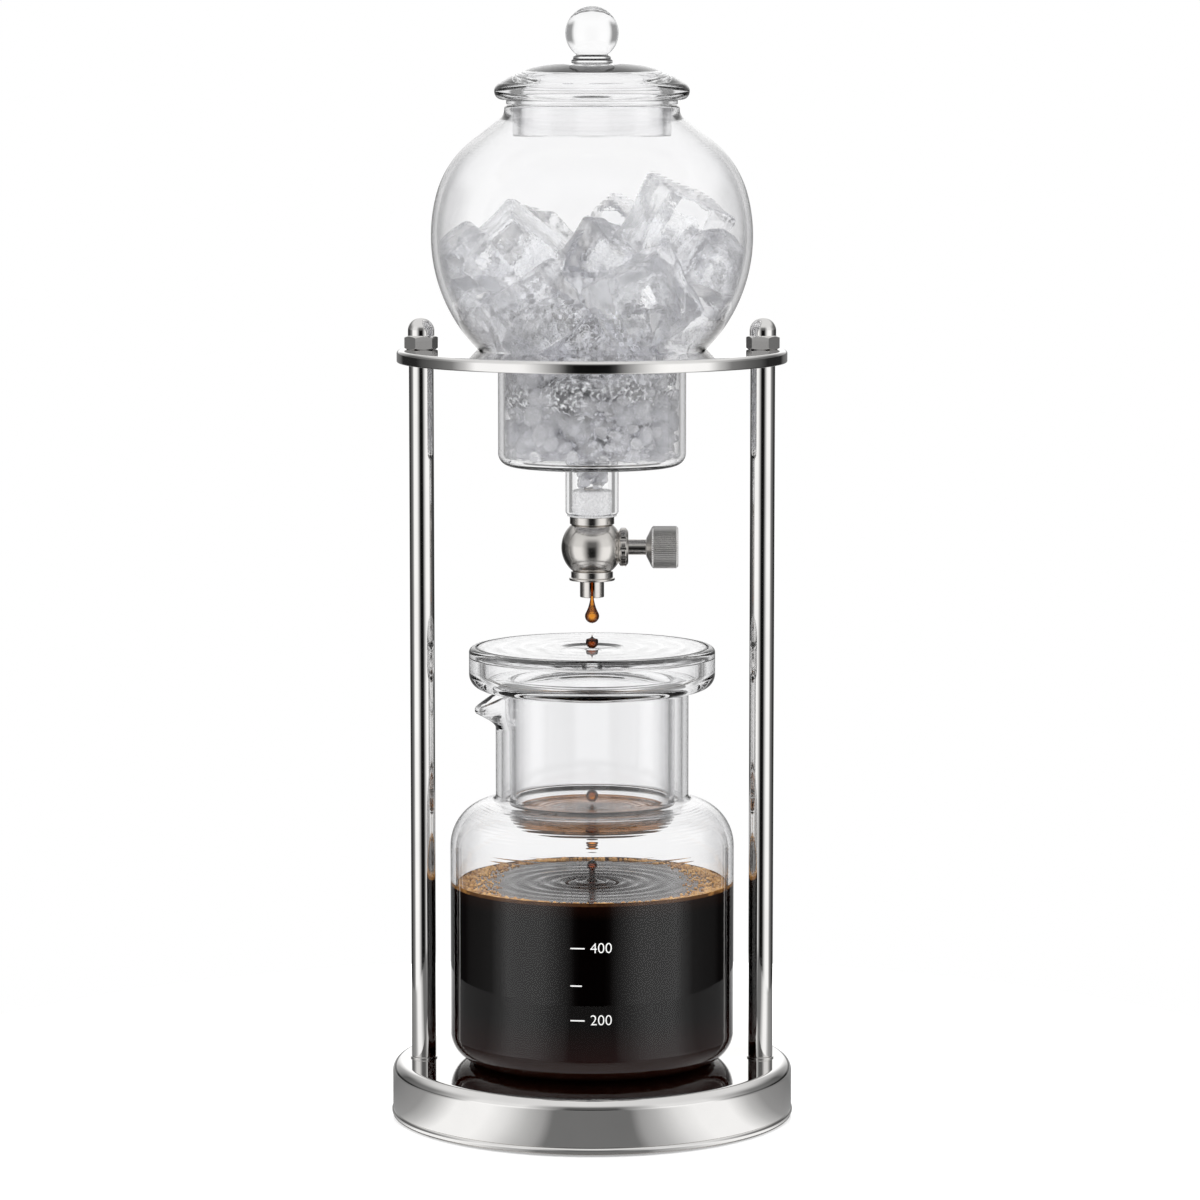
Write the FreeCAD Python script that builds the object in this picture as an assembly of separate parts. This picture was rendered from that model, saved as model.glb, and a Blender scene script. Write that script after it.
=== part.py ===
import math
import os

import FreeCAD
import Part

# A cold drip coffee tower: a two-rod steel stand, a globe ice vessel with a needle valve under it,
# a brew cup with its drip lid, and a carafe with a pinched pouring spout.
# Millimetres, +Z up, the floor is z = 0, the tower's axis is the Z axis and the valve knob is at +X.

# Fits and gaps
rest_gap = 0.3            # between two pieces that rest on each other and can be lifted apart
running = 0.05            # radial play of a turning or threaded fit
slip = 0.2                # radial play of a screw or stud in a plain hole

# Carafe
carafe_radius = 52.0
carafe_body_height = 92.1     # from the bottom to the corner where the side meets the shoulder
carafe_shoulder_rise = 4.5
carafe_neck_height = 40.2     # from the shoulder's corner to the rim
carafe_neck_radius = 35.3
carafe_wall = 2.4
carafe_foot_round = 10.0
carafe_shoulder_round = 17.0
carafe_neck_round = 1.8
punt_radius = 38.0            # the bottom is pushed up inside this radius
punt_rise = 1.2

# Pouring spout, pinched out of the neck's rim towards -X
spout_reach = 7.6
spout_height = 14.0           # from where it leaves the neck to the rim
spout_flare = 8.0             # height over which it swings out
spout_half_angle = 34.0       # degrees each side of -X
spout_dip = 7.0               # how far the tip is pulled below the rim
spout_wall = 2.0
spout_sink = 0.7              # its faces start this far inside the neck's own faces
spout_sections = 8
spout_points = 17

# Brew cup: a tube that hangs in the carafe's neck, under a wide drum
tube_radius = 30.2
tube_wall = 2.0
tube_length = 51.4
tube_floor = 2.6
drain_radius = 2.0
drum_radius = 45.0
drum_height = 15.3
drum_wall = 5.5
drum_floor = 3.5
drum_foot_round = 5.5
drum_top_round = 2.0

# Drip lid, let into the drum's top
cup_lid_thickness = 3.2
cup_lid_ledge = 3.1           # width of the ledge that carries it
dimple_radius = 10.3
dimple_depth = 1.0
drip_hole_radius = 2.5

# Air between the drip lid and the valve's tip
drip_gap = 18.2

# Needle valve
nozzle_radius = 4.4
nozzle_length = 6.2
nozzle_slot = 1.9
nozzle_bore = 1.6
outlet_collar_radius = 7.65
outlet_collar_lip = 8.35
outlet_lip_height = 0.9
outlet_collar_height = 3.35
ball_radius = 11.2
ball_above_collar = 8.75      # ball's centre above the outlet collar
inlet_collar_below = 8.5      # ball's centre below the inlet collar
inlet_collar_radius = 8.1
inlet_collar_height = 2.9
inlet_tube_radius = 3.0
inlet_tube_length = 10.5
inlet_bore = 1.5
spigot_radius = 3.75          # threaded ends of the inlet and of the nozzle
spigot_length = 3.2
plenum = 1.0                  # free height between the inlet's spigot and the socket's floor
outlet_bore = 1.0
orifice_radius = 0.9
seat_wall = 0.6               # metal between the outlet bore and the needle's chamber
chamber_radius = 1.7
chamber_length = 2.9
feed_radius = 0.9
thread_radius = 2.0
thread_bore_length = 4.0
stem_radius = 2.9
packing_length = 1.7
packing_wall = 0.85
boss_wall = 0.95              # wall of the side boss around the packing
boss_end = 12.0               # outer end of the side boss, from the axis
gland_radius = 7.05
gland_length = 3.6
gland_cap = 1.0
gland_play = 0.2              # the nut's cap stands this far off the boss
gland_scallops = 12
gland_scallop_depth = 0.45
gland_groove_radius = 1.2
needle_cone = 0.367           # radius lost per millimetre of cone
needle_tip_radius = 0.3
needle_shank_radius = 1.3
needle_opening = 0.35         # how far it stands off its seat at rest
seat_play = 0.02
knob_start = 19.8             # knob's inner end, from the axis
knob_cone_length = 1.9
knob_neck_radius = 3.3
knob_radius = 7.7
knob_length = 11.6
knob_chamfer = 0.7
knob_teeth = 60
knob_tooth_depth = 0.3
knob_bore_depth = 7.0

# Ice and water vessel
vessel_wall = 2.2
outlet_radius = 9.65
outlet_length = 17.8
outlet_round = 2.0
cylinder_margin = 6.7         # between the lower cylinder and the ring's hole
cylinder_drop = 83.3          # from the globe's centre down to the cylinder's floor
cylinder_corner = 4.6
waist_round = 2.5             # where the cylinder runs into the globe
globe_radius = 58.3
shoulder_radius = 36.4        # tighter curve that leads from the globe to the neck
shoulder_start = 15.0         # degrees above the globe's equator
shoulder_end = 52.4
vessel_neck_radius = 31.7
vessel_neck_wall = 2.6
vessel_neck_round = 4.0
vessel_neck_height = 3.6      # straight neck above the corner of the shoulder
stopper_flange = 0.7
stopper_length = 9.0
squeeze = 0.02                # play of soft pieces that are pressed into place

# Vessel lid
plug_gap = 0.4
plug_wall = 2.8
plug_length = 12.2
lid_step = 1.5
lid_step_overlap = 0.7        # the step ends this far inside the neck's outer face
lid_bead_radius = 3.2
lid_bead_overhang = 3.6       # how far the bead stands out past the neck
lid_rise = 14.8               # from the seat to the dome's top
lid_dome_bulge = 2.1          # height of the dome's curve above its chord
lid_inner_rise = 11.8
lid_inner_corner = 9.6
lid_boss_radius = 7.8
ball_knob_radius = 9.6
ball_knob_neck = 5.6
ball_knob_foot = 7.5
ball_knob_collar = 6.8
ball_knob_rise = 3.0          # from the lid's boss to where the ball starts

# Ring plate and rods
ring_thickness = 4.5
ring_seat_depth = 0.44        # where the globe touches, below the plate's top
ring_seat_width = 1.0         # conical seat, 45 degrees
ring_edge_round = 1.4
ring_under_round = 0.5
ring_margin = 8.9             # from the rods' axes to the plate's edge
rod_radius = 4.5
carafe_side_gap = 5.5         # between the carafe and the rods
globe_nut_gap = 4.0           # least distance from the globe to the nuts
stud_radius = 3.0
stud_rise = 8.2               # stud above the plate
rod_hole_depth = 22.0
rod_foot_washer = 0.5
rod_foot_washer_radius = 4.9

# Acorn nuts
nut_flats = 10.7
nut_hex_height = 4.8
nut_dome_radius = 4.8
nut_dome_straight = 1.9
nut_turn = 12.0               # degrees that the left nut is turned, mirrored on the right

# Base
foot_proud = 0.8              # rubber feet below the steel cover
base_height = 19.8
base_wall = 1.2
base_round = 4.0
base_margin = 11.4            # from the rods' axes to the base's side
base_bead = 0.4               # how far the rolled bottom edge stands out
base_bead_height = 2.6
ballast_height = 11.4
ballast_gap = 3.4             # between the ballast and the steel cover's wall
cover_lift = 1.4              # bottom cover above the steel cover's edge
cover_thickness = 1.2
cover_screws = 3
cover_screw_radius = 1.5
cover_screw_head = 2.8
cover_screw_head_height = 1.2
cover_screw_length = 8.0
cover_screw_circle = 34.0
boss_radius = 5.0
feet = 4
foot_radius = 8.0
foot_circle = 58.0
foot_peg = 1.5
screw_head_radius = 5.0
screw_head_height = 3.2
screw_washer_radius = 6.4
screw_washer_height = 0.8
screw_length_in_rod = 18.0

# Heights, from the floor up
base_top = foot_proud + base_height
carafe_bottom = base_top + rest_gap
carafe_corner = carafe_bottom + carafe_body_height
carafe_rim = carafe_corner + carafe_shoulder_rise + carafe_neck_height
drum_bottom = carafe_rim + rest_gap
drum_top = drum_bottom + drum_height
tube_bottom = drum_bottom - tube_length
nozzle_bottom = drum_top + drip_gap
collar_bottom = nozzle_bottom + nozzle_length
collar_top = collar_bottom + outlet_collar_height
ball_centre = collar_top + ball_above_collar
inlet_bottom = ball_centre + inlet_collar_below
inlet_top = inlet_bottom + inlet_collar_height
outlet_bottom = inlet_top + stopper_flange
cylinder_bottom = outlet_bottom + outlet_length
globe_centre = cylinder_bottom + cylinder_drop
seat_radius = (globe_radius + rest_gap) * math.cos(math.radians(45))
ring_top = globe_centre - seat_radius + ring_seat_depth
ring_bottom = ring_top - ring_thickness

# Radii and places worked out from the pieces that have to pass or clear each other
ring_hole = seat_radius + ring_seat_depth - ring_seat_width
cylinder_radius = ring_hole - cylinder_margin
nut_corner = nut_flats / 2 / math.cos(math.radians(30))
nut_height = nut_hex_height + nut_dome_straight + nut_dome_radius
globe_by_nut = math.sqrt(globe_radius ** 2 - (globe_centre - ring_top - nut_height) ** 2)
rod_offset = max(carafe_radius + carafe_side_gap + rod_radius, globe_by_nut + globe_nut_gap + nut_corner)
ring_radius = rod_offset + ring_margin
base_radius = rod_offset + base_margin
lid_seat_radius = drum_radius - drum_wall + cup_lid_ledge
lid_seat_bottom = drum_top - cup_lid_thickness - rest_gap

up = FreeCAD.Vector(0, 0, 1)
along_x = FreeCAD.Vector(1, 0, 0)
origin = FreeCAD.Vector(0, 0, 0)


def at(r, z):
    """A point of an outline: distance from the axis and height."""
    return FreeCAD.Vector(r, 0, z)


def unit(a, b):
    """Direction from one point to the other."""
    step = b - a
    step.normalize()
    return step


def corner_arc(before, corner, after, radius):
    """Start, middle and end of the arc that rounds a corner, tangent to both of its edges."""
    back = unit(corner, before)
    ahead = unit(corner, after)
    half = back.getAngle(ahead) / 2
    run = radius / math.tan(half)
    middle_direction = back + ahead
    middle_direction.normalize()
    reach = radius / math.sin(half) - radius
    return corner + back * run, corner + middle_direction * reach, corner + ahead * run


def open_outline(points, radii):
    """Edges along the points, with the inner corners rounded by the radii."""
    edges = []
    here = points[0]
    for i, radius in enumerate(radii, start=1):
        if radius <= 0:
            edges.append(Part.LineSegment(here, points[i]).toShape())
            here = points[i]
            continue
        start, middle, end = corner_arc(points[i - 1], points[i], points[i + 1], radius)
        if here.distanceToPoint(start) > 1e-6:
            edges.append(Part.LineSegment(here, start).toShape())
        edges.append(Part.Arc(start, middle, end).toShape())
        here = end
    if here.distanceToPoint(points[-1]) > 1e-6:
        edges.append(Part.LineSegment(here, points[-1]).toShape())
    return edges


def closed_outline(corners):
    """Edges round a closed outline, given as (radius from axis, height, corner rounding)."""
    points = [at(r, z) for r, z, rounding in corners]
    roundings = [rounding for r, z, rounding in corners]
    middle_of_last = (points[-1] + points[0]) * 0.5
    return open_outline([middle_of_last] + points + [middle_of_last], roundings)


def inset(points, radii, depth):
    """The same open outline moved inwards by a wall: each edge goes to its own left."""
    moved = []
    for a, b in zip(points, points[1:]):
        step = unit(a, b)
        left = FreeCAD.Vector(-step.z, 0, step.x) * depth
        moved.append((a + left, b + left))
    corners = [moved[0][0]]
    new_radii = []
    for i, radius in enumerate(radii):
        (a, b), (c, d) = moved[i], moved[i + 1]
        first = b - a
        second = d - c
        turn = first.x * second.z - first.z * second.x
        share = ((c.x - a.x) * second.z - (c.z - a.z) * second.x) / turn
        corners.append(a + first * share)
        new_radii.append(radius - depth if turn > 0 else radius + depth)
    corners.append(moved[-1][1])
    return corners, new_radii


def revolve(edges, start=origin, axis=up):
    """Solid of revolution of a closed outline."""
    wire = Part.Wire(Part.__sortEdges__(edges))
    return Part.Face(wire).revolve(start, axis, 360)


def lathe(corners):
    """Turned piece round the Z axis, from its closed outline."""
    return revolve(closed_outline(corners))


def cross_lathe(corners):
    """Turned piece round the valve's X axis: outline as (distance from axis, place along X, rounding)."""
    piece = lathe(corners)
    piece.rotate(origin, FreeCAD.Vector(0, 1, 0), 90)
    piece.translate(FreeCAD.Vector(0, 0, ball_centre))
    return piece


def rod(radius, bottom, top, x=0.0, y=0.0):
    return Part.makeCylinder(radius, top - bottom, FreeCAD.Vector(x, y, bottom))


def ring_of(piece, count, first_angle=0.0):
    """Copies of a piece round the Z axis, kept as separate solids."""
    copies = []
    for i in range(count):
        one = piece.copy()
        one.rotate(origin, up, first_angle + 360 * i / count)
        copies.append(one)
    return copies


def export(shape, node):
    if isinstance(shape, list):
        shape = Part.makeCompound(shape)
    shape.exportStep("parts/" + node + ".step")


# Base

def base_shell():
    """Spun steel cover: flat top, large round edge, straight side and a rolled bottom edge."""
    side_end = foot_proud + base_bead_height
    bead_centre = foot_proud + base_bead_height / 2
    top_side = [at(0, base_top), at(base_radius, base_top), at(base_radius, side_end)]
    outer = open_outline(top_side, [base_round])
    under = [at(0, base_top - base_wall), at(base_radius - base_wall, base_top - base_wall),
             at(base_radius - base_wall, foot_proud)]
    inner = open_outline(under, [base_round - base_wall])
    bead = Part.Arc(at(base_radius, side_end), at(base_radius + base_bead, bead_centre),
                    at(base_radius, foot_proud)).toShape()
    axis_edge = Part.LineSegment(at(0, base_top), at(0, base_top - base_wall)).toShape()
    foot = Part.LineSegment(at(base_radius, foot_proud), at(base_radius - base_wall, foot_proud)).toShape()
    shell = revolve(outer + inner + [bead, axis_edge, foot])
    for x in (-rod_offset, rod_offset):
        shell = shell.cut(rod(stud_radius + slip, 0, base_top + 1, x))
    return shell


def ballast_disc():
    """Cast disc under the cover's top, with bosses down to the bottom cover and holes for the rod screws."""
    top = base_top - base_wall
    bottom = top - ballast_height
    cover_top = foot_proud + cover_lift + cover_thickness
    disc = lathe([(0, bottom, 0), (base_radius - base_wall - ballast_gap, bottom, 1),
                  (base_radius - base_wall - ballast_gap, top, 1), (0, top, 0)])
    boss = rod(boss_radius, cover_top, bottom + 1, cover_screw_circle)
    screw_end = cover_top + cover_screw_length
    tapped = rod(cover_screw_radius + running, cover_top - 1, screw_end, cover_screw_circle)
    for one in ring_of(boss, cover_screws, 30):
        disc = disc.fuse(one)
    for hole in ring_of(tapped, cover_screws, 30):
        disc = disc.cut(hole)
    for x in (-rod_offset, rod_offset):
        disc = disc.cut(rod(stud_radius + slip, 0, base_top, x))
    return disc.removeSplitter()


def base_cover():
    """Flat bottom cover inside the steel cover's skirt."""
    bottom = foot_proud + cover_lift
    top = bottom + cover_thickness
    plate = rod(base_radius - base_wall - slip, bottom, top)
    screw_hole = rod(cover_screw_radius + slip, bottom - 1, top + 1, cover_screw_circle)
    peg_hole = rod(foot_peg + running, bottom - 1, top + 1, foot_circle)
    for hole in ring_of(screw_hole, cover_screws, 30) + ring_of(peg_hole, feet, 45):
        plate = plate.cut(hole)
    return plate


def base_cover_screws():
    """Pan-head screws, up through the bottom cover into the ballast's bosses."""
    seat = foot_proud + cover_lift
    head = seat - cover_screw_head_height
    end = seat + cover_screw_length
    screw = lathe([(0, head, 0), (cover_screw_head, head, 0.6), (cover_screw_head, seat, 0),
                   (cover_screw_radius, seat, 0), (cover_screw_radius, end, 0.3), (0, end, 0)])
    screw.translate(FreeCAD.Vector(cover_screw_circle, 0, 0))
    return ring_of(screw, cover_screws, 30)


def rubber_feet():
    """Round feet under the bottom cover, each with a peg in its hole."""
    seat = foot_proud + cover_lift
    foot = lathe([(0, 0, 0), (foot_radius, 0, 0.5), (foot_radius - 0.6, seat, 0.3), (foot_peg, seat, 0),
                  (foot_peg, seat + cover_thickness + 0.6, 0.3), (0, seat + cover_thickness + 0.6, 0)])
    foot.translate(FreeCAD.Vector(foot_circle, 0, 0))
    return ring_of(foot, feet, 45)


# Rods, ring and their fasteners

def stand_rod(x):
    """Polished rod: tapped at its foot, turned down to a stud where it goes through the ring plate."""
    foot = base_top + rod_foot_washer
    body = lathe([(0, foot, 0), (rod_radius, foot, 0.3), (rod_radius, ring_bottom, 0.3),
                  (stud_radius, ring_bottom, 0), (stud_radius, ring_top + stud_rise, 0.6),
                  (0, ring_top + stud_rise, 0)])
    body = body.cut(rod(stud_radius + running, foot - 1, foot + rod_hole_depth))
    body.translate(FreeCAD.Vector(x, 0, 0))
    return body


def rod_foot_washers():
    """Thin washers between the rods and the base."""
    washers = []
    for x in (-rod_offset, rod_offset):
        washer = rod(rod_foot_washer_radius, base_top, base_top + rod_foot_washer, x)
        washers.append(washer.cut(rod(stud_radius + slip, 0, ring_top, x)))
    return washers


def rod_screws():
    """Screws up through the ballast and the cover into the rods."""
    seat = base_top - base_wall - ballast_height - screw_washer_height
    top = base_top + rod_foot_washer + screw_length_in_rod
    screws = []
    for x in (-rod_offset, rod_offset):
        screw = lathe([(0, seat - screw_head_height, 0), (screw_head_radius, seat - screw_head_height, 1.2),
                       (screw_head_radius, seat, 0), (stud_radius, seat, 0),
                       (stud_radius, top, 0.5), (0, top, 0)])
        screw.translate(FreeCAD.Vector(x, 0, 0))
        screws.append(screw)
    return screws


def rod_screw_washers():
    top = base_top - base_wall - ballast_height
    washers = []
    for x in (-rod_offset, rod_offset):
        washer = rod(screw_washer_radius, top - screw_washer_height, top, x)
        washers.append(washer.cut(rod(stud_radius + slip, 0, base_top, x)))
    return washers


def ring_plate():
    """Polished plate that carries the globe on a conical seat."""
    plate = lathe([(ring_hole, ring_bottom, ring_under_round), (ring_radius, ring_bottom, ring_under_round),
                   (ring_radius, ring_top, ring_edge_round), (ring_hole + ring_seat_width, ring_top, 0.2),
                   (ring_hole, ring_top - ring_seat_width, 0.2)])
    for x in (-rod_offset, rod_offset):
        plate = plate.cut(rod(stud_radius + slip, ring_bottom - 1, ring_top + 1, x))
    return plate


def acorn_nut(x, turn):
    """Domed nut: a hexagon with chamfered corners, a round cap and a blind bore for the stud."""
    corners = []
    for i in range(7):
        angle = math.radians(60 * i)
        corners.append(FreeCAD.Vector(nut_corner * math.cos(angle), nut_corner * math.sin(angle), ring_top))
    hexagon = Part.Face(Part.makePolygon(corners)).extrude(up * nut_hex_height)
    hex_top = ring_top + nut_hex_height
    bevel = nut_corner - nut_flats / 2
    bevel_start = nut_flats / 2 - 0.1
    turned = lathe([(0, ring_top, 0), (bevel_start, ring_top, 0), (nut_corner, ring_top + bevel * 0.6, 0),
                    (nut_corner, hex_top - bevel * 0.6, 0), (bevel_start, hex_top, 0), (0, hex_top, 0)])
    dome_centre = hex_top + nut_dome_straight
    cap = rod(nut_dome_radius, hex_top - 0.5, dome_centre)
    cap = cap.fuse(Part.makeSphere(nut_dome_radius, FreeCAD.Vector(0, 0, dome_centre)))
    nut = hexagon.common(turned).fuse(cap)
    nut = nut.cut(rod(stud_radius + running, ring_top - 1, ring_top + stud_rise + 0.5)).removeSplitter()
    nut.rotate(origin, up, turn)
    nut.translate(FreeCAD.Vector(x, 0, 0))
    return nut


# Ice and water vessel

def vessel_side(depth, neck):
    """Outline of the vessel from its outlet to its neck, moved inwards by depth."""
    centre = at(0, globe_centre)
    lift = math.sqrt((globe_radius + waist_round) ** 2 - (cylinder_radius + waist_round) ** 2)
    waist = at(cylinder_radius + waist_round, globe_centre - lift)
    lower = [at(outlet_radius - depth, outlet_bottom + vessel_wall / 2),
             at(outlet_radius - depth, cylinder_bottom + depth),
             at(cylinder_radius - depth, cylinder_bottom + depth),
             at(cylinder_radius - depth, waist.z)]
    edges = open_outline(lower, [outlet_round + depth, cylinder_corner - depth])

    outward = unit(centre, waist)
    waist_middle = unit(waist, lower[-1]) + outward * -1
    waist_middle.normalize()
    globe_start = centre + outward * (globe_radius - depth)
    edges.append(Part.Arc(lower[-1], waist + waist_middle * (waist_round + depth), globe_start).toShape())

    def on_arc(middle, radius, degrees):
        angle = math.radians(degrees)
        return middle + at(math.cos(angle), math.sin(angle)) * (radius - depth)

    start_angle = math.degrees(math.atan2(outward.z, outward.x))
    half_way = on_arc(centre, globe_radius, (start_angle + shoulder_start) / 2)
    globe_end = on_arc(centre, globe_radius, shoulder_start)
    edges.append(Part.Arc(globe_start, half_way, globe_end).toShape())

    lean = math.radians(shoulder_start)
    shoulder = centre + at(math.cos(lean), math.sin(lean)) * (globe_radius - shoulder_radius)
    half_way = on_arc(shoulder, shoulder_radius, (shoulder_start + shoulder_end) / 2)
    slope_start = on_arc(shoulder, shoulder_radius, shoulder_end)
    edges.append(Part.Arc(globe_end, half_way, slope_start).toShape())

    end = math.radians(shoulder_end)
    steep = math.tan(math.pi / 2 - end)
    outer_start = shoulder + at(math.cos(end), math.sin(end)) * shoulder_radius
    rim = outer_start.z + (outer_start.x - vessel_neck_radius) * steep + vessel_neck_height
    slope_end = at(neck, slope_start.z + (slope_start.x - neck) * steep)
    rim_start = at(neck, rim - vessel_neck_wall / 2)
    edges += open_outline([slope_start, slope_end, rim_start], [vessel_neck_round + depth])
    return edges, rim


def water_vessel():
    """One-piece glass: globe, lower cylinder and outlet neck, with round rims at both ends."""
    inner_neck = vessel_neck_radius - vessel_neck_wall
    outer, rim = vessel_side(0, vessel_neck_radius)
    inner, rim = vessel_side(vessel_wall, inner_neck)
    side = rim - vessel_neck_wall / 2
    top = Part.Arc(at(vessel_neck_radius, side), at((vessel_neck_radius + inner_neck) / 2, rim),
                   at(inner_neck, side)).toShape()
    end = outlet_bottom + vessel_wall / 2
    bottom = Part.Arc(at(outlet_radius, end), at(outlet_radius - vessel_wall / 2, outlet_bottom),
                      at(outlet_radius - vessel_wall, end)).toShape()
    return revolve(outer + inner + [top, bottom])


def vessel_rim():
    return vessel_side(0, vessel_neck_radius)[1]


def valve_stopper():
    """Silicone bung that holds the valve's inlet tube in the outlet neck."""
    bore = outlet_radius - vessel_wall - squeeze
    flange = outlet_radius - 0.6
    inner = inlet_tube_radius + squeeze
    seat = outlet_bottom - squeeze
    top = outlet_bottom + stopper_length
    return lathe([(inner, inlet_top, 0), (flange, inlet_top, 0.3), (flange, seat, 0), (bore, seat, 0),
                  (bore, top, 0.8), (inner, top, 0)])


# Vessel lid

def vessel_lid():
    """Blown glass dome with a beaded rim, a step that sits on the neck and a hollow plug inside it."""
    seat = vessel_rim() + rest_gap
    plug = vessel_neck_radius - vessel_neck_wall - plug_gap
    step_radius = vessel_neck_radius - lid_step_overlap
    bead = at(vessel_neck_radius + lid_bead_overhang - lid_bead_radius, seat + lid_step + lid_bead_radius)
    top = seat + lid_rise
    bead_top = bead + at(math.cos(math.radians(70)), math.sin(math.radians(70))) * lid_bead_radius
    dome_start = at(lid_boss_radius, top)
    chord = (dome_start + bead_top) * 0.5
    side = unit(dome_start, bead_top)
    bulge = chord + FreeCAD.Vector(-side.z, 0, side.x) * lid_dome_bulge
    edges = [Part.LineSegment(at(0, top), dome_start).toShape(),
             Part.Arc(dome_start, bulge, bead_top).toShape(),
             Part.Arc(bead_top, bead + at(lid_bead_radius, 0), bead - up * lid_bead_radius).toShape()]
    inner = plug - plug_wall
    under = [bead - up * lid_bead_radius, at(step_radius, seat + lid_step), at(step_radius, seat),
             at(plug, seat), at(plug, seat - plug_length), at(inner, seat - plug_length),
             at(inner, seat + lid_inner_corner), at(0, seat + lid_inner_rise)]
    edges += open_outline(under, [0, 0, 0, 1.0, 1.0, 4.0])
    edges.append(Part.LineSegment(under[-1], at(0, top)).toShape())
    return revolve(edges)


def lid_knob():
    """Solid glass ball on a short foot."""
    foot = vessel_rim() + rest_gap + lid_rise
    start = foot + ball_knob_rise
    centre = at(0, start + math.sqrt(ball_knob_radius ** 2 - ball_knob_neck ** 2))
    lower = [at(0, foot), at(ball_knob_foot, foot), at(ball_knob_foot, foot + 1.0),
             at(ball_knob_collar, foot + 1.5), at(ball_knob_collar, foot + 2.3), at(ball_knob_neck, start)]
    edges = open_outline(lower, [0.3, 0.4, 0.3, 0.3])
    crown = centre + up * ball_knob_radius
    edges.append(Part.Arc(lower[-1], centre + at(ball_knob_radius, 0), crown).toShape())
    edges.append(Part.LineSegment(crown, at(0, foot)).toShape())
    return revolve(edges)


# Needle valve

def valve_inlet():
    """Collar with a tube up into the stopper and a threaded spigot down into the ball."""
    low = inlet_bottom - spigot_length
    high = inlet_top + inlet_tube_length
    return lathe([(inlet_bore, low, 0), (spigot_radius, low, 0.3),
                  (spigot_radius, inlet_bottom, 0), (inlet_collar_radius, inlet_bottom, 0.3),
                  (inlet_collar_radius, inlet_top, 0.3), (inlet_tube_radius, inlet_top, 0),
                  (inlet_tube_radius, high, 0.4), (inlet_bore, high, 0)])


def valve_body():
    """Ball body: sockets at top and bottom, and a stepped bore from the side for the needle."""
    centre = FreeCAD.Vector(0, 0, ball_centre)
    body = Part.makeSphere(ball_radius, centre)
    body = body.common(rod(ball_radius + 1, collar_top, inlet_bottom))
    boss_outer = stem_radius + packing_wall + running + boss_wall
    boss_start = ball_radius / 2
    boss = Part.makeCylinder(boss_outer, boss_end - boss_start, centre + along_x * boss_start, along_x)
    body = body.fuse(boss)
    socket_floor = inlet_bottom - spigot_length - plenum
    body = body.cut(rod(spigot_radius + running, socket_floor, inlet_bottom + 1))
    body = body.cut(rod(spigot_radius + running, collar_top - 1, collar_top + spigot_length))
    body = body.cut(rod(outlet_bore, collar_top, ball_centre))
    body = body.cut(Part.makeSphere(outlet_bore, centre))
    seat = outlet_bore + seat_wall
    thread_start = seat + chamber_length
    stem_start = thread_start + thread_bore_length
    recess = boss_end - packing_length - 0.1
    stem_bore = stem_radius + running
    steps = [(orifice_radius, 0, seat + 0.1), (chamber_radius, seat, thread_start + 0.1),
             (thread_radius + running, thread_start, stem_start + 0.1),
             (stem_bore, stem_start, boss_end), (stem_bore + packing_wall, recess, boss_end + 1)]
    for radius, start, end in steps:
        body = body.cut(Part.makeCylinder(radius, end - start, centre + along_x * start, along_x))
    feed = seat + feed_radius + 0.2
    return body.cut(rod(feed_radius, ball_centre, socket_floor + 0.1, feed)).removeSplitter()


def outlet_collar():
    """Ring under the ball, flared to a lip at its lower edge."""
    lip_top = collar_bottom + outlet_lip_height
    return lathe([(spigot_radius + running, collar_bottom, 0), (outlet_collar_lip, collar_bottom, 0.35),
                  (outlet_collar_lip, lip_top, 0.35), (outlet_collar_radius, lip_top + 0.2, 0.2),
                  (outlet_collar_radius, collar_top, 0.2), (spigot_radius + running, collar_top, 0)])


def drip_nozzle():
    """Short tube with a slot in its front, and a threaded spigot through the collar into the ball."""
    top = collar_top + spigot_length
    nozzle = lathe([(nozzle_bore, nozzle_bottom, 0.2), (nozzle_radius, nozzle_bottom, 0.3),
                    (nozzle_radius, collar_bottom, 0), (spigot_radius, collar_bottom, 0),
                    (spigot_radius, top, 0.3), (nozzle_bore, top, 0)])
    slot = Part.makeBox(nozzle_slot, nozzle_radius + 1, nozzle_length - 0.6,
                        FreeCAD.Vector(-nozzle_slot / 2, -nozzle_radius - 1, nozzle_bottom - 0.1))
    return nozzle.cut(slot)


def gland_nut():
    """Scalloped nut that presses the packing: it screws onto the side boss and is dished round the ball."""
    boss = stem_radius + packing_wall + running + boss_wall
    end = boss_end + gland_play + gland_cap
    start = end - gland_length
    face = gland_radius - 1.2
    nut = cross_lathe([(boss + running, start, 0), (face, start, 0.3), (gland_radius, start + 0.9, 0.4),
                       (gland_radius, end - 0.9, 0.4), (face, end, 0.3), (stem_radius + running, end, 0),
                       (stem_radius + running, end - gland_cap, 0), (boss + running, end - gland_cap, 0)])
    reach = gland_radius - gland_scallop_depth + gland_groove_radius
    for i in range(gland_scallops):
        angle = 2 * math.pi * i / gland_scallops
        place = FreeCAD.Vector(start - 1, reach * math.cos(angle), ball_centre + reach * math.sin(angle))
        nut = nut.cut(Part.makeCylinder(gland_groove_radius, gland_length + 2, place, along_x))
    return nut.cut(Part.makeSphere(ball_radius + slip, FreeCAD.Vector(0, 0, ball_centre)))


def stem_packing():
    """Soft ring round the stem, between the recess's floor and the gland nut."""
    inner = stem_radius + running
    outer = inner + packing_wall - squeeze
    start = boss_end - packing_length
    end = boss_end + gland_play - running
    return cross_lathe([(inner, start, 0), (outer, start, 0), (outer, end, 0), (inner, end, 0)])


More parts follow.
